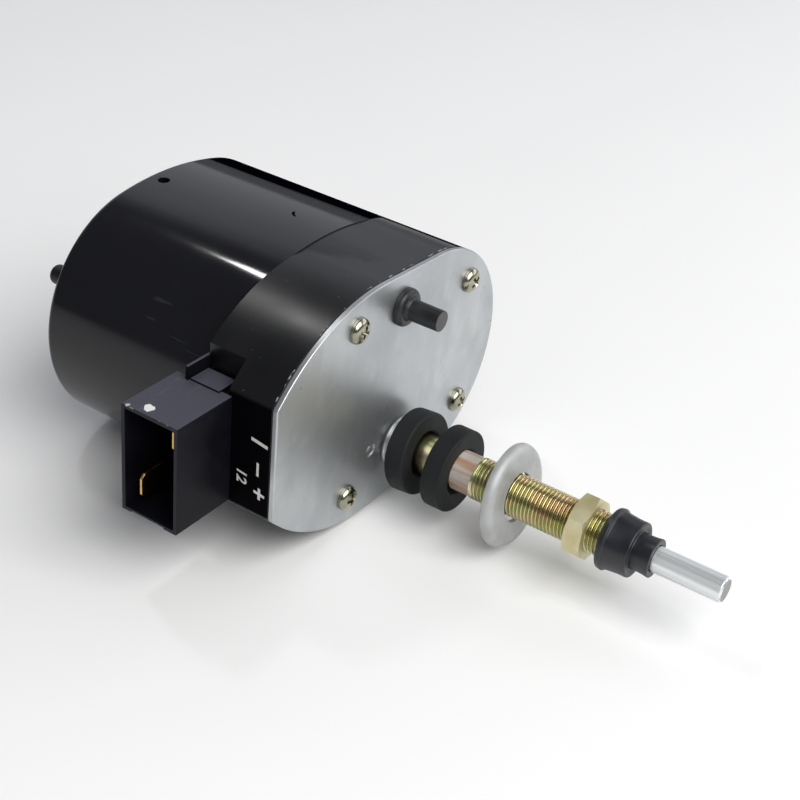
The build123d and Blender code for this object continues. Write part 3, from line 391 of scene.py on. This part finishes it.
# %% Yellow chromate of the spindle
chromate = finish("chromate", [
    (0.55, 0.32, 0.22), (0.68, 0.54, 0.28), (0.46, 0.50, 0.24), (0.76, 0.68, 0.46),
], (0.16, 0.26), metallic=1.0, broad=85.0, broad_detail=3.0, grain=1600.0, grain_depth=0.003)
tree, coords = chromate.node_tree, coordinates(chromate)
green = noise_mask(tree, coords, 110.0, 0.48, 0.60, (1.0, 1.0, 1.0), 2.0)
paint_over(chromate, both(tree, green, 0.5), (0.36, 0.50, 0.20), 0.2)
pink = noise_mask(tree, coords, 150.0, 0.56, 0.66, (0.7, 1.3, 1.0), 2.0)
paint_over(chromate, both(tree, pink, 0.5), (0.80, 0.48, 0.42), 0.2)
# The thread's roots, found by their distance from the axis
across = tree.nodes.new("ShaderNodeVectorMath")
across.operation = "MULTIPLY"
across.inputs[1].default_value = (0.0, 1.0, 1.0)
tree.links.new(coords.outputs["Object"], across.inputs[0])
radius = tree.nodes.new("ShaderNodeVectorMath")
radius.operation = "LENGTH"
tree.links.new(across.outputs["Vector"], radius.inputs[0])
root = rise(tree, radius.outputs["Value"], 6.42 * MM, 6.12 * MM)
in_thread = band_mask(tree, coords, "X", 31.6, 32.0)
paint_over(chromate, both(tree, root, in_thread), (0.34, 0.30, 0.12), 0.30)
# The shank's chromate colours lie in streaks along it; the near-white streaks are painted reflections of
# the lamps.
shank_chromate = finish("shank_chromate", [
    (0.44, 0.18, 0.09), (0.90, 0.58, 0.40), (1.0, 0.94, 0.86), (0.86, 0.64, 0.34),
], (0.20, 0.30), metallic=0.45, broad=330.0, broad_detail=1.0, stretch=(0.06, 1.0, 1.0))

# %% Nut, washer, screws and shaft
nut_zinc = finish("nut_zinc", [(0.58, 0.51, 0.27), (0.66, 0.60, 0.36), (0.74, 0.69, 0.46)], (0.34, 0.46),
                  metallic=0.75, broad=140.0, broad_detail=5.0, grain=900.0, grain_depth=0.006,
                  grain_stretch=(2.5, 0.5, 0.5))
washer_zinc = finish("washer_zinc", [(0.38, 0.39, 0.39), (0.46, 0.47, 0.47), (0.53, 0.54, 0.54)],
                     (0.50, 0.64), metallic=0.5, broad=130.0, broad_detail=6.0, grain=1300.0,
                     grain_depth=0.022)
screw_nickel = finish("screw_nickel", [(0.30, 0.29, 0.22), (0.46, 0.44, 0.35)], (0.14, 0.24), metallic=1.0,
                      broad=400.0, grain=1800.0, grain_depth=0.003)
bright_steel = finish("bright_steel", [(0.66, 0.70, 0.72), (0.78, 0.80, 0.81)], (0.16, 0.24), metallic=1.0,
                      broad=160.0, stretch=(0.2, 1.0, 1.0), grain=1100.0, grain_depth=0.004,
                      grain_stretch=(0.15, 1.0, 1.0))
# The shaft's light streaks along its length, up to white, are painted reflections of the lamps.
shaft_steel = finish("shaft_steel", [(0.46, 0.49, 0.50), (0.84, 0.87, 0.88), (1.0, 1.0, 1.0)], (0.24, 0.34),
                     metallic=0.55, broad=480.0, broad_detail=2.0, stretch=(0.02, 1.0, 1.0), grain=1100.0,
                     grain_depth=0.004, grain_stretch=(0.15, 1.0, 1.0))
tree, coords = shaft_steel.node_tree, coordinates(shaft_steel)
# Painted shade: the shaft's end face, found by facing along X, is painted a darker grey.
paint_over(shaft_steel, facing_mask(tree, coords, "X", 0.9, 0.97), (0.29, 0.30, 0.29), 0.50)
dark_steel = finish("dark_steel", [(0.010, 0.010, 0.011), (0.026, 0.026, 0.028)], (0.34, 0.50),
                    metallic=0.5, broad=200.0, grain=900.0, grain_depth=0.006)

# %% [markdown]
# ## Rubber and plastic
# The rings are matt cast rubber and the boot is smoother and slightly blue. The connector is
# moulded: its top has drag lines from handling, and a chip of white paint sits near its front edge.

# %% Rubber
rubber_black = finish("rubber_black", [(0.004, 0.005, 0.006), (0.010, 0.011, 0.012)], (0.60, 0.78),
                      broad=110.0, broad_detail=5.0, grain=1500.0, grain_depth=0.016, specular=0.35)
sleeve_rubber = finish("sleeve_rubber", [(0.009, 0.010, 0.011), (0.017, 0.018, 0.020)], (0.34, 0.46),
                       broad=160.0, grain=1500.0, grain_depth=0.006, specular=0.45)
tree, coords = sleeve_rubber.node_tree, coordinates(sleeve_rubber)
# Painted light: the sleeve's front end face is painted a lighter grey than its sides.
painted_lit_sleeve_end = both(tree, facing_mask(tree, coords, "X", 0.8, 0.95),
                  band_mask(tree, coords, "X", 12.6, 12.9))
paint_over(sleeve_rubber, painted_lit_sleeve_end, (0.068, 0.068, 0.072), 0.6)
boot_rubber = finish("boot_rubber", [(0.005, 0.006, 0.010), (0.011, 0.012, 0.019)], (0.34, 0.46),
                     broad=120.0, grain=900.0, grain_depth=0.008, specular=0.62)
gasket_paper = finish("gasket_paper", [(0.006, 0.006, 0.006), (0.020, 0.019, 0.018)], (0.7, 0.9),
                      broad=300.0)

# %% Connector plastic
connector_plastic = finish("connector_plastic", [(0.003, 0.003, 0.005), (0.007, 0.007, 0.011)],
                           (0.40, 0.52), broad=80.0, stretch=(0.3, 1.0, 1.0), grain=1300.0,
                           grain_depth=0.006, specular=0.11)
tree, coords = connector_plastic.node_tree, coordinates(connector_plastic)
drag = noise_mask(tree, coords, 500.0, 0.60, 0.72, (1.0, 0.08, 1.0), 2.0)
# Painted light: the connector's top face is painted a lighter grey, a painted sheen of the ceiling panel;
# the drag lines lie on it.
painted_lit_top = both(tree, band_mask(tree, coords, "Z", 36.6, 37.0),
                facing_mask(tree, coords, "Z", 0.6, 0.9))
paint_over(connector_plastic, painted_lit_top, (0.064, 0.065, 0.086), 0.45)
# Painted light: the connector's front face round the opening is painted a lighter grey than its sides.
painted_lit_rim = both(tree, band_mask(tree, coords, "Y", -82.3, -82.6),
                facing_mask(tree, coords, "Y", 0.6, 0.9))
paint_over(connector_plastic, painted_lit_rim, (0.022, 0.022, 0.030), 0.45)
# Along the top front edge, flecks of light grey stand for wear and for a painted highlight on that edge.
worn_and_lit_edge = both(tree, band_mask(tree, coords, "Z", 37.0, 37.3),
            band_mask(tree, coords, "Y", -82.1, -82.6))
flaked = noise_mask(tree, coords, 600.0, 0.56, 0.62, (1.0, 1.0, 1.0), 4.0)
paint_over(connector_plastic, both(tree, worn_and_lit_edge, flaked, 0.6), (0.34, 0.34, 0.33), 0.6)
paint_over(connector_plastic, both(tree, drag, painted_lit_top, 0.5), (0.095, 0.095, 0.115), 0.45)
chip = spot_mask(tree, coords, (-28.4, -79.7, 37.5), 2.75, 0.15, 2.6, 700.0)
paint_over(connector_plastic, chip, (0.74, 0.76, 0.72), 0.6)
small_chip = spot_mask(tree, coords, (-33.7, -82.3, 37.5), 1.3, 0.15, 1.4, 1100.0)
paint_over(connector_plastic, small_chip, (0.50, 0.46, 0.36), 0.6)

# %% Blades, inner pieces, ink and table
blade_gold = finish("blade_gold", [(0.62, 0.36, 0.10), (0.80, 0.52, 0.20)], (0.22, 0.34), metallic=1.0,
                    broad=300.0, grain=1500.0, grain_depth=0.003)
tree, coords = blade_gold.node_tree, coordinates(blade_gold)
# Painted shade: blade faces that face along X are painted near black, as the dark socket leaves them in
# shade.
paint_over(blade_gold, facing_mask(tree, coords, "X", 0.6, 0.9), (0.035, 0.020, 0.008), 0.5)
bronze = finish("bronze", [(0.40, 0.26, 0.13), (0.56, 0.38, 0.20)], (0.34, 0.48), metallic=1.0,
                broad=300.0)
laminate = finish("laminate", [(0.16, 0.08, 0.03), (0.24, 0.13, 0.06)], (0.5, 0.65), broad=200.0)
carbon = finish("carbon", [(0.012, 0.012, 0.013), (0.030, 0.030, 0.031)], (0.5, 0.7), broad=500.0)
ferrite = finish("ferrite", [(0.035, 0.035, 0.038), (0.070, 0.070, 0.074)], (0.55, 0.7), broad=200.0)
core_steel = finish("core_steel", [(0.20, 0.20, 0.21), (0.34, 0.34, 0.35)], (0.35, 0.5), metallic=1.0,
                    broad=200.0, stretch=(12.0, 1.0, 1.0))
copper_wire = finish("copper_wire", [(0.45, 0.16, 0.06), (0.72, 0.32, 0.14)], (0.25, 0.4), metallic=1.0,
                     broad=160.0, stretch=(1.0, 8.0, 8.0), grain=900.0, grain_depth=0.05)
bare_copper = finish("bare_copper", [(0.62, 0.32, 0.16), (0.78, 0.46, 0.28)], (0.22, 0.34), metallic=1.0,
                     broad=300.0)
nylon = finish("nylon", [(0.62, 0.58, 0.46), (0.76, 0.73, 0.62)], (0.38, 0.5), broad=150.0)
white_ink = finish("white_ink", [(0.62, 0.62, 0.58), (0.80, 0.80, 0.76)], (0.45, 0.6), broad=900.0)
table_paint = finish("table_paint", [(0.90, 0.90, 0.90), (0.93, 0.93, 0.93)], (0.75, 0.85), broad=3.0)
floor.data.materials.append(table_paint)
print("finishes:", len(bpy.data.materials))

# %% Give every carried-over piece its finish
node_finish = {
    "motor_can": can_gloss, "gear_housing": housing_paint, "cover_plate": zinc_plate,
    "cover_gasket": gasket_paper, "cover_screws": screw_nickel, "mounting_stud": bright_steel,
    "stud_sleeve": sleeve_rubber, "spindle_tube": chromate, "rear_bush": bronze, "front_bush": bronze,
    "inner_grommet": rubber_black, "outer_grommet": rubber_black, "cup_washer": washer_zinc,
    "spindle_nut": nut_zinc, "shaft_boot": boot_rubber, "connector_shell": connector_plastic,
    "terminal_blades": blade_gold, "contact_board": laminate, "park_contacts": blade_gold,
    "through_bolts": dark_steel, "yoke_ring": dark_steel, "field_magnets": ferrite,
    "front_bearing": bronze, "rear_bearing": bronze, "brush_plate": laminate, "brush_holders": blade_gold,
    "carbon_brushes": carbon, "brush_springs": bright_steel, "reduction_axle": bright_steel,
    "crank_axle": bright_steel, "armature_shaft": bright_steel, "drive_pinion": bright_steel,
    "armature_core": core_steel, "armature_windings": copper_wire, "commutator": bare_copper,
    "reduction_gear": nylon, "crank_gear": nylon, "crank_pin": bright_steel, "park_ring": blade_gold,
    "rod_clip": bright_steel, "connecting_rod": dark_steel, "output_shaft": shaft_steel,
    "output_lever": dark_steel, "lever_pin": bright_steel, "shaft_circlip": dark_steel,
    "thrust_washers": bright_steel,
}
for node, material in node_finish.items():
    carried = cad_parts[node]
    carried.data.materials.clear()
    carried.data.materials.append(material)

# %% [markdown]
# ## Softened copies of the rigid shells
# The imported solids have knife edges, but pressed, cast and moulded pieces have small radii that
# catch a line of light. Each visible shell is copied, its loose triangles are merged, its flat faces
# are joined, and a narrow bevel rounds only the edges that are sharp. A copy keeps the exact form,
# so the piece still meets its neighbours.


def stand_in(piece, node, body="housing"):
    """Show a dressed piece instead of its node, on the node's body."""
    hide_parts(node)
    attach(piece, body)
    return piece


def smooth_by_angle(mesh, angle):
    """Shade smooth, and keep edges sharper than the angle crisp."""
    mesh.shade_smooth()
    mesh.set_sharp_from_angle(angle=radians(angle))


def baked(piece):
    """Turn a piece with modifiers into one plain mesh without them."""
    bpy.context.view_layer.update()
    evaluated = piece.evaluated_get(bpy.context.evaluated_depsgraph_get())
    mesh = bpy.data.meshes.new_from_object(evaluated)
    mesh.name = piece.name
    piece.modifiers.clear()
    piece.data = mesh
    return piece


BEVEL_SEGMENTS = 2
BEVEL_ANGLE = 28.0
MERGE_DISTANCE = 0.002
FLAT_ANGLE = 0.4


def softened(node, name, width, body="housing"):
    """A merged copy of a node whose sharp edges get a small radius, in millimetres."""
    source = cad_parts[node]
    mesh = source.data.copy()
    mesh.name = name
    work = bmesh.new()
    work.from_mesh(mesh)
    bmesh.ops.remove_doubles(work, verts=work.verts, dist=MERGE_DISTANCE * MM)
    bmesh.ops.dissolve_limit(work, angle_limit=radians(FLAT_ANGLE), verts=work.verts, edges=work.edges)
    work.to_mesh(mesh)
    work.free()
    mesh.materials.clear()
    mesh.materials.append(node_finish[node])
    piece = new_object(name, mesh)
    if width:
        bevel = piece.modifiers.new("edge_radius", "BEVEL")
        bevel.width = width * MM
        bevel.segments = BEVEL_SEGMENTS
        bevel.limit_method = "ANGLE"
        bevel.angle_limit = radians(BEVEL_ANGLE)
        bevel.miter_outer = "MITER_ARC"
        baked(piece)
    smooth_by_angle(piece.data, 40.0)
    weights = piece.modifiers.new("face_weights", "WEIGHTED_NORMAL")
    weights.keep_sharp = True
    print(name, "has", len(piece.data.polygons), "faces")
    return stand_in(piece, node, body)


# %% The shells
softened("motor_can", "painted_can", 0.25)
softened("gear_housing", "painted_housing", 0.35)
softened("cover_plate", "zinc_cover", 0.15)
softened("connector_shell", "connector_body", 0.22)
softened("terminal_blades", "gold_blades", 0.15)
softened("inner_grommet", "inner_rubber_ring", 0.0)
softened("outer_grommet", "outer_rubber_ring", 0.0)
softened("cup_washer", "pressed_washer", 0.2)
softened("spindle_nut", "hex_nut", 0.3)
softened("output_shaft", "drive_shaft", 0.15, "output")

# %% [markdown]
# ## Turned pieces
# The boot, the locating stud's sleeve and the spindle are round, so each is a profile spun about its
# axis, which lies along X. The profile is a closed list of corners, and a helper rounds them before
# the spin.


# %% Helpers that round a profile and spin it
def rounded_profile(corners, steps=4):
    """Corners as (x, radius, rounding) in millimetres; returns the points of the rounded loop."""
    points = []
    count = len(corners)
    for i, (x, r, rounding) in enumerate(corners):
        here = Vector((x, r))
        before = Vector(corners[i - 1][:2]) - here
        after = Vector(corners[(i + 1) % count][:2]) - here
        if rounding <= 0:
            points.append(here)
            continue
        reach = min(rounding, 0.49 * before.length, 0.49 * after.length)
        start = here + before.normalized() * reach
        end = here + after.normalized() * reach
        for step in range(steps + 1):
            t = step / steps
            points.append((1 - t) ** 2 * start + 2 * t * (1 - t) * here + t * t * end)
    return points


def spun(name, profile, material, segments=96, angle=35.0, centre=(0.0, 0.0)):
    """Spin a closed profile of (x, radius) points about an axis along X into a closed skin."""
    verts, faces = [], []
    count = len(profile)
    for x, radius in profile:
        for s in range(segments):
            turn = 2 * pi * s / segments
            y, z = centre[0] + radius * cos(turn), centre[1] + radius * sin(turn)
            verts.append((x * MM, y * MM, z * MM))
    for i in range(count):
        ring, following = i * segments, (i + 1) % count * segments
        for s in range(segments):
            t = (s + 1) % segments
            faces.append((ring + s, following + s, following + t, ring + t))
    mesh = bpy.data.meshes.new(name)
    mesh.from_pydata(verts, [], faces)
    work = bmesh.new()
    work.from_mesh(mesh)
    bmesh.ops.recalc_face_normals(work, faces=work.faces)
    work.to_mesh(mesh)
    work.free()
    mesh.materials.append(material)
    smooth_by_angle(mesh, angle)
    piece = new_object(name, mesh)
    return piece


# %% [markdown]
# ## Shaft boot
# The boot is a soft moulded cap: a lip grips the spindle, the wall draws in a little at its waist
# and flares to a rolled rim, and a short nose with its own rim closes on the shaft.

# %% Boot
boot_profile = rounded_profile([
    (75.2, 6.9, 0.2), (75.2, 9.3, 0.5), (76.9, 9.6, 0.5), (77.2, 9.0, 0.3), (78.8, 8.75, 1.2),
    (82.0, 8.45, 1.5), (83.7, 8.5, 0.8), (84.6, 8.45, 0.6), (84.6, 7.3, 0.4), (84.1, 6.5, 0.4),
    (84.1, 5.7, 0.4), (87.0, 5.6, 1.0), (89.2, 5.8, 0.8), (90.3, 6.0, 0.4), (90.3, 4.15, 0.3),
    (83.75, 4.15, 0.2), (83.6, 6.72, 0.3),
])
boot = spun("rubber_boot", boot_profile, boot_rubber)
stand_in(boot, "shaft_boot")
print("boot profile has", len(boot_profile), "points")

# %% Sleeve of the locating stud
sleeve_profile = rounded_profile([
    (0.0, 1.93, 0), (0.0, 5.9, 0.3), (1.7, 5.9, 0.7), (2.55, 5.0, 0.5), (2.55, 3.9, 0.25),
    (3.1, 3.75, 0.25), (3.5, 3.3, 0.3), (13.3, 3.2, 0.22), (13.3, 0.02, 0), (10.85, 0.02, 0),
    (10.85, 1.93, 0),
])
sleeve = spun("stud_cap", sleeve_profile, sleeve_rubber, 64, 45.0, STUD_AXIS)
stand_in(sleeve, "stud_sleeve")
print("sleeve profile has", len(sleeve_profile), "points")

# %% [markdown]
# ## Threaded spindle
# The spindle is turned, then its thread is cut as one long helix. A helix follows a rule: the depth
# at a point depends only on how far along and how far round it is. So the turned blank gets close
# rings, and a Geometry Nodes tree moves each point inwards by that rule. Its sizes are named inputs.


# %% Helpers for node trees
def wire(tree, kind, inputs=(), **settings):
    """Add a node, set its properties, and link or set its inputs in order."""
    node = tree.nodes.new(kind)
    for key, value in settings.items():
        setattr(node, key, value)
    for index, value in enumerate(inputs):
        if value is None:
            continue
        if isinstance(value, bpy.types.NodeSocket):
            tree.links.new(value, node.inputs[index])
        else:
            node.inputs[index].default_value = value
    return node


def maths(tree, operation, *inputs):
    """The output of one Math node."""
    return wire(tree, "ShaderNodeMath", inputs, operation=operation).outputs[0]


def new_rule(name, sizes):
    """A node group with a geometry input and output and one float input for each named size."""
    tree = bpy.data.node_groups.new(name, "GeometryNodeTree")
    tree.interface.new_socket("Geometry", in_out="INPUT", socket_type="NodeSocketGeometry")
    for size in sizes:
        tree.interface.new_socket(size, in_out="INPUT", socket_type="NodeSocketFloat")
    tree.interface.new_socket("Geometry", in_out="OUTPUT", socket_type="NodeSocketGeometry")
    group_in = tree.nodes.new("NodeGroupInput")
    group_out = tree.nodes.new("NodeGroupOutput")
    return tree, group_in, group_out


def end_rule(tree, geometry, material, group_out):
    """Make a tree's result real, give it its material and send it to the output."""
    real = tree.nodes.new("GeometryNodeRealizeInstances")
    tree.links.new(geometry, real.inputs[0])
    dress = tree.nodes.new("GeometryNodeSetMaterial")
    dress.inputs["Material"].default_value = material
    tree.links.new(real.outputs[0], dress.inputs["Geometry"])
    tree.links.new(dress.outputs[0], group_out.inputs[0])


def follow_rule(piece, tree, sizes):
    """Run a tree on a piece with its sizes set, and keep the result as a plain mesh."""
    modifier = piece.modifiers.new(tree.name, "NODES")
    modifier.node_group = tree
    for item in tree.interface.items_tree:
        if item.in_out == "INPUT" and item.name in sizes:
            modifier[item.identifier] = sizes[item.name]
    return baked(piece)


# %% Thread rule
def thread_rule():
    """Points near the outside move inwards along a helix between Start and End."""
    sizes = ["Pitch", "Depth", "Start", "End", "Runout", "Outside"]
    tree, group_in, group_out = new_rule("thread_rule", sizes)
    size = {name: group_in.outputs[name] for name in sizes}
    position = tree.nodes.new("GeometryNodeInputPosition")
    x, y, z = wire(tree, "ShaderNodeSeparateXYZ", [position.outputs[0]]).outputs
    round_part = maths(tree, "DIVIDE", maths(tree, "ARCTAN2", z, y), 2 * pi)
    turns = maths(tree, "DIVIDE", maths(tree, "SUBTRACT", x, size["Start"]), size["Pitch"])
    phase = maths(tree, "SUBTRACT", turns, round_part)
    wave = maths(tree, "COSINE", maths(tree, "MULTIPLY", phase, 2 * pi))
    shape = maths(tree, "MULTIPLY_ADD", wave, -0.5, 0.5)
    fade_in = tree.nodes.new("ShaderNodeMapRange")
    tree.links.new(x, fade_in.inputs["Value"])
    tree.links.new(size["Start"], fade_in.inputs["From Min"])
    tree.links.new(maths(tree, "ADD", size["Start"], size["Runout"]), fade_in.inputs["From Max"])
    depth = maths(tree, "MULTIPLY", maths(tree, "MULTIPLY", shape, fade_in.outputs[0]), size["Depth"])
    squares = maths(tree, "ADD", maths(tree, "MULTIPLY", y, y), maths(tree, "MULTIPLY", z, z))
    radius = maths(tree, "SQRT", squares)
    share = maths(tree, "DIVIDE", maths(tree, "SUBTRACT", radius, depth), radius)
    moved_y, moved_z = maths(tree, "MULTIPLY", y, share), maths(tree, "MULTIPLY", z, share)
    moved = wire(tree, "ShaderNodeCombineXYZ", [x, moved_y, moved_z])
    on_outside = maths(tree, "GREATER_THAN", radius, size["Outside"])
    in_range = maths(tree, "MULTIPLY", maths(tree, "GREATER_THAN", x, size["Start"]),
                     maths(tree, "LESS_THAN", x, size["End"]))
    cut = tree.nodes.new("GeometryNodeSetPosition")
    tree.links.new(group_in.outputs["Geometry"], cut.inputs["Geometry"])
    tree.links.new(maths(tree, "MULTIPLY", on_outside, in_range), cut.inputs["Selection"])
    tree.links.new(moved.outputs[0], cut.inputs["Position"])
    end_rule(tree, cut.outputs[0], chromate, group_out)
    return tree


# %% Spindle
thread_start, thread_end, thread_crest = 31.0, 80.75, 6.65
thread_depth, thread_runout = 0.62, 1.6
pitch = 1.25
rings_per_turn = 12
shank_start = 24.0
outer_skin = 6.0  # only points at a larger radius belong to the outside
ring_count = int((thread_end - thread_start) / pitch * rings_per_turn)
thread_rings = [
    Vector((thread_start + (thread_end - thread_start) * i / ring_count, thread_crest))
    for i in range(ring_count + 1)
]
spindle_profile = [Vector(p) for p in (
    (-5.5, 4.62), (-5.5, 10.5), (-1.5, 10.5), (-1.5, 6.3), (shank_start, 6.3), (30.4, 6.3), (30.9, 6.62),
)] + thread_rings + [Vector(p) for p in (
    (81.45, 5.9), (81.5, 5.8), (81.5, 5.32), (67.5, 5.32), (67.5, 4.62),
)]
spindle = spun("threaded_spindle", spindle_profile, chromate, 96, 60.0)
follow_rule(spindle, thread_rule(), {
    "Pitch": pitch * MM, "Depth": thread_depth * MM, "Start": thread_start * MM,
    "End": (thread_end + 0.01) * MM, "Runout": thread_runout * MM, "Outside": outer_skin * MM,
})
smooth_by_angle(spindle.data, 60.0)
spindle.data.materials.append(shank_chromate)
for polygon in spindle.data.polygons:
    x, y, z = polygon.center / MM
    if shank_start < x < thread_start and hypot(y, z) > outer_skin:
        polygon.material_index = 1
stand_in(spindle, "spindle_tube")
turns = round((thread_end - thread_start) / pitch, 1)
print("thread turns:", turns, "faces:", len(spindle.data.polygons))

# %% [markdown]
# ## Cover screws
# Four pan-head screws with a cross recess hold the cover. They are one screw four times, each
# stopped at its own turn, so one master is modelled and a Geometry Nodes tree sets it on four points
# with a random turn from a fixed seed.

# %% One screw
screw_profile = rounded_profile([
    (-11.9, 0.02, 0), (-12.0, 1.6, 0.3), (-11.0, 1.96, 0.3), (0.0, 1.96, 0), (0.02, 4.0, 0.15),
    (0.95, 3.97, 0.35), (1.95, 3.25, 1.1), (2.52, 1.7, 1.0), (2.6, 0.02, 0),
], 5)
screw_blank = spun("screw_blank", screw_profile, screw_nickel, 48, 50.0)


def cross_cutter():
    """A tapered cross that leaves the recess for the driver."""
    work = bmesh.new()
    for turn in (0.0, pi / 2):
        verts = []
        for x, half_long, half_wide in ((0.9, 1.0, 0.34), (3.0, 2.55, 0.60)):
            for side_a, side_b in ((-1, -1), (1, -1), (1, 1), (-1, 1)):
                a, b = side_a * half_long, side_b * half_wide
                verts.append(work.verts.new((x * MM, (a * cos(turn) - b * sin(turn)) * MM,
                                             (a * sin(turn) + b * cos(turn)) * MM)))
        for quad in ((0, 1, 2, 3), (4, 5, 6, 7), (0, 1, 5, 4), (1, 2, 6, 5), (2, 3, 7, 6), (3, 0, 4, 7)):
            work.faces.new([verts[i] for i in quad])
    bmesh.ops.recalc_face_normals(work, faces=work.faces)
    mesh = bpy.data.meshes.new("cross_cutter")
    work.to_mesh(mesh)
    work.free()
    mesh.materials.append(screw_nickel)
    return new_object("cross_cutter", mesh)


cutter = cross_cutter()
recess = screw_blank.modifiers.new("recess", "BOOLEAN")
recess.operation = "DIFFERENCE"
recess.solver = "EXACT"
recess.use_self = True
recess.object = cutter
baked(screw_blank)
bpy.data.objects.remove(cutter)
smooth_by_angle(screw_blank.data, 40.0)
print("one screw has", len(screw_blank.data.polygons), "faces")


# %% Four screws from one
def screw_rule(master):
    """Set the master on every point, each with its own turn about X."""
    tree, group_in, group_out = new_rule("screw_rule", ["Largest turn"])
    source = tree.nodes.new("GeometryNodeObjectInfo")
    source.inputs["Object"].default_value = master
    turn = tree.nodes.new("FunctionNodeRandomValue")
    turn.data_type = "FLOAT"
    by_name = {socket.identifier: socket for socket in turn.inputs}
    tree.links.new(group_in.outputs["Largest turn"], by_name["Max_001"])
    by_name["Seed"].default_value = 7
    about_x = tree.nodes.new("ShaderNodeCombineXYZ")
    tree.links.new({socket.identifier: socket for socket in turn.outputs}["Value_001"], about_x.inputs[0])
    on_points = tree.nodes.new("GeometryNodeInstanceOnPoints")
    tree.links.new(group_in.outputs["Geometry"], on_points.inputs["Points"])
    tree.links.new(source.outputs["Geometry"], on_points.inputs["Instance"])
    tree.links.new(about_x.outputs[0], on_points.inputs["Rotation"])
    end_rule(tree, on_points.outputs[0], screw_nickel, group_out)
    return tree


# Each row of two screws as (Y, half of the distance between them)
screw_rows = ((-24.9, 28.8), (34.1, 21.8))
screw_points = [(0.0, y, BODY_MID + z) for y, half in screw_rows for z in (-half, half)]
points_mesh = bpy.data.meshes.new("cover_screw_points")
points_mesh.from_pydata([[v * MM for v in point] for point in screw_points], [], [])
screws = new_object("cross_screws", points_mesh)
follow_rule(screws, screw_rule(screw_blank), {"Largest turn": 2 * pi})
bpy.data.objects.remove(screw_blank)
stand_in(screws, "cover_screws")
print("screws:", len(screw_points), "faces:", len(screws.data.polygons))

# %% [markdown]
# ## Marks on the flat
# White marks are printed on the housing's flat beside the connector. Only plain signs are used
# here: a number and the two signs of the supply, with a smaller number under them. Each is a
# text curve turned into a mesh, slanted, and laid a hair above the paint.

# %% Printed marks
INK_LIFT = 0.03


def printed_mark(text, size, x, z):
    """Vertices and faces of one mark whose top points to +X and which reads downwards, to -Z."""
    curve = bpy.data.curves.new("mark", "FONT")
    curve.body = text
    curve.size = size * MM
    curve.shear = 0.15
    curve.align_x = "CENTER"
    curve.align_y = "CENTER"
    curve.resolution_u = 6
    curve.offset = 0.020 * size * MM
    holder = new_object("mark", curve)
    bpy.context.view_layer.update()
    mesh = bpy.data.meshes.new_from_object(holder.evaluated_get(bpy.context.evaluated_depsgraph_get()))
    ink_y = (FLAT_Y - INK_LIFT) * MM
    verts = [(x * MM + v.co.y, ink_y, z * MM - v.co.x) for v in mesh.vertices]
    faces = [tuple(polygon.vertices) for polygon in mesh.polygons]
    bpy.data.objects.remove(holder)
    return verts, faces


# Each mark as (text, size, X, Z); the second is a dash
mark_list = (
    ("1", 8.0, -6.0, 27.0), ("\u2013", 8.0, -5.6, 17.9), ("+", 7.5, -5.6, 10.0), ("12", 5.0, -11.7, 13.2),
)
all_verts, all_faces = [], []
for text, size, x, z in mark_list:
    verts, faces = printed_mark(text, size, x, z)
    all_faces += [tuple(len(all_verts) + i for i in face) for face in faces]
    all_verts += verts
marks_mesh = bpy.data.meshes.new("printed_marks")
marks_mesh.from_pydata(all_verts, [], all_faces)
marks_mesh.materials.append(white_ink)
marks = new_object("printed_marks", marks_mesh)
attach(marks, "housing")
print("marks have", len(all_faces), "faces")
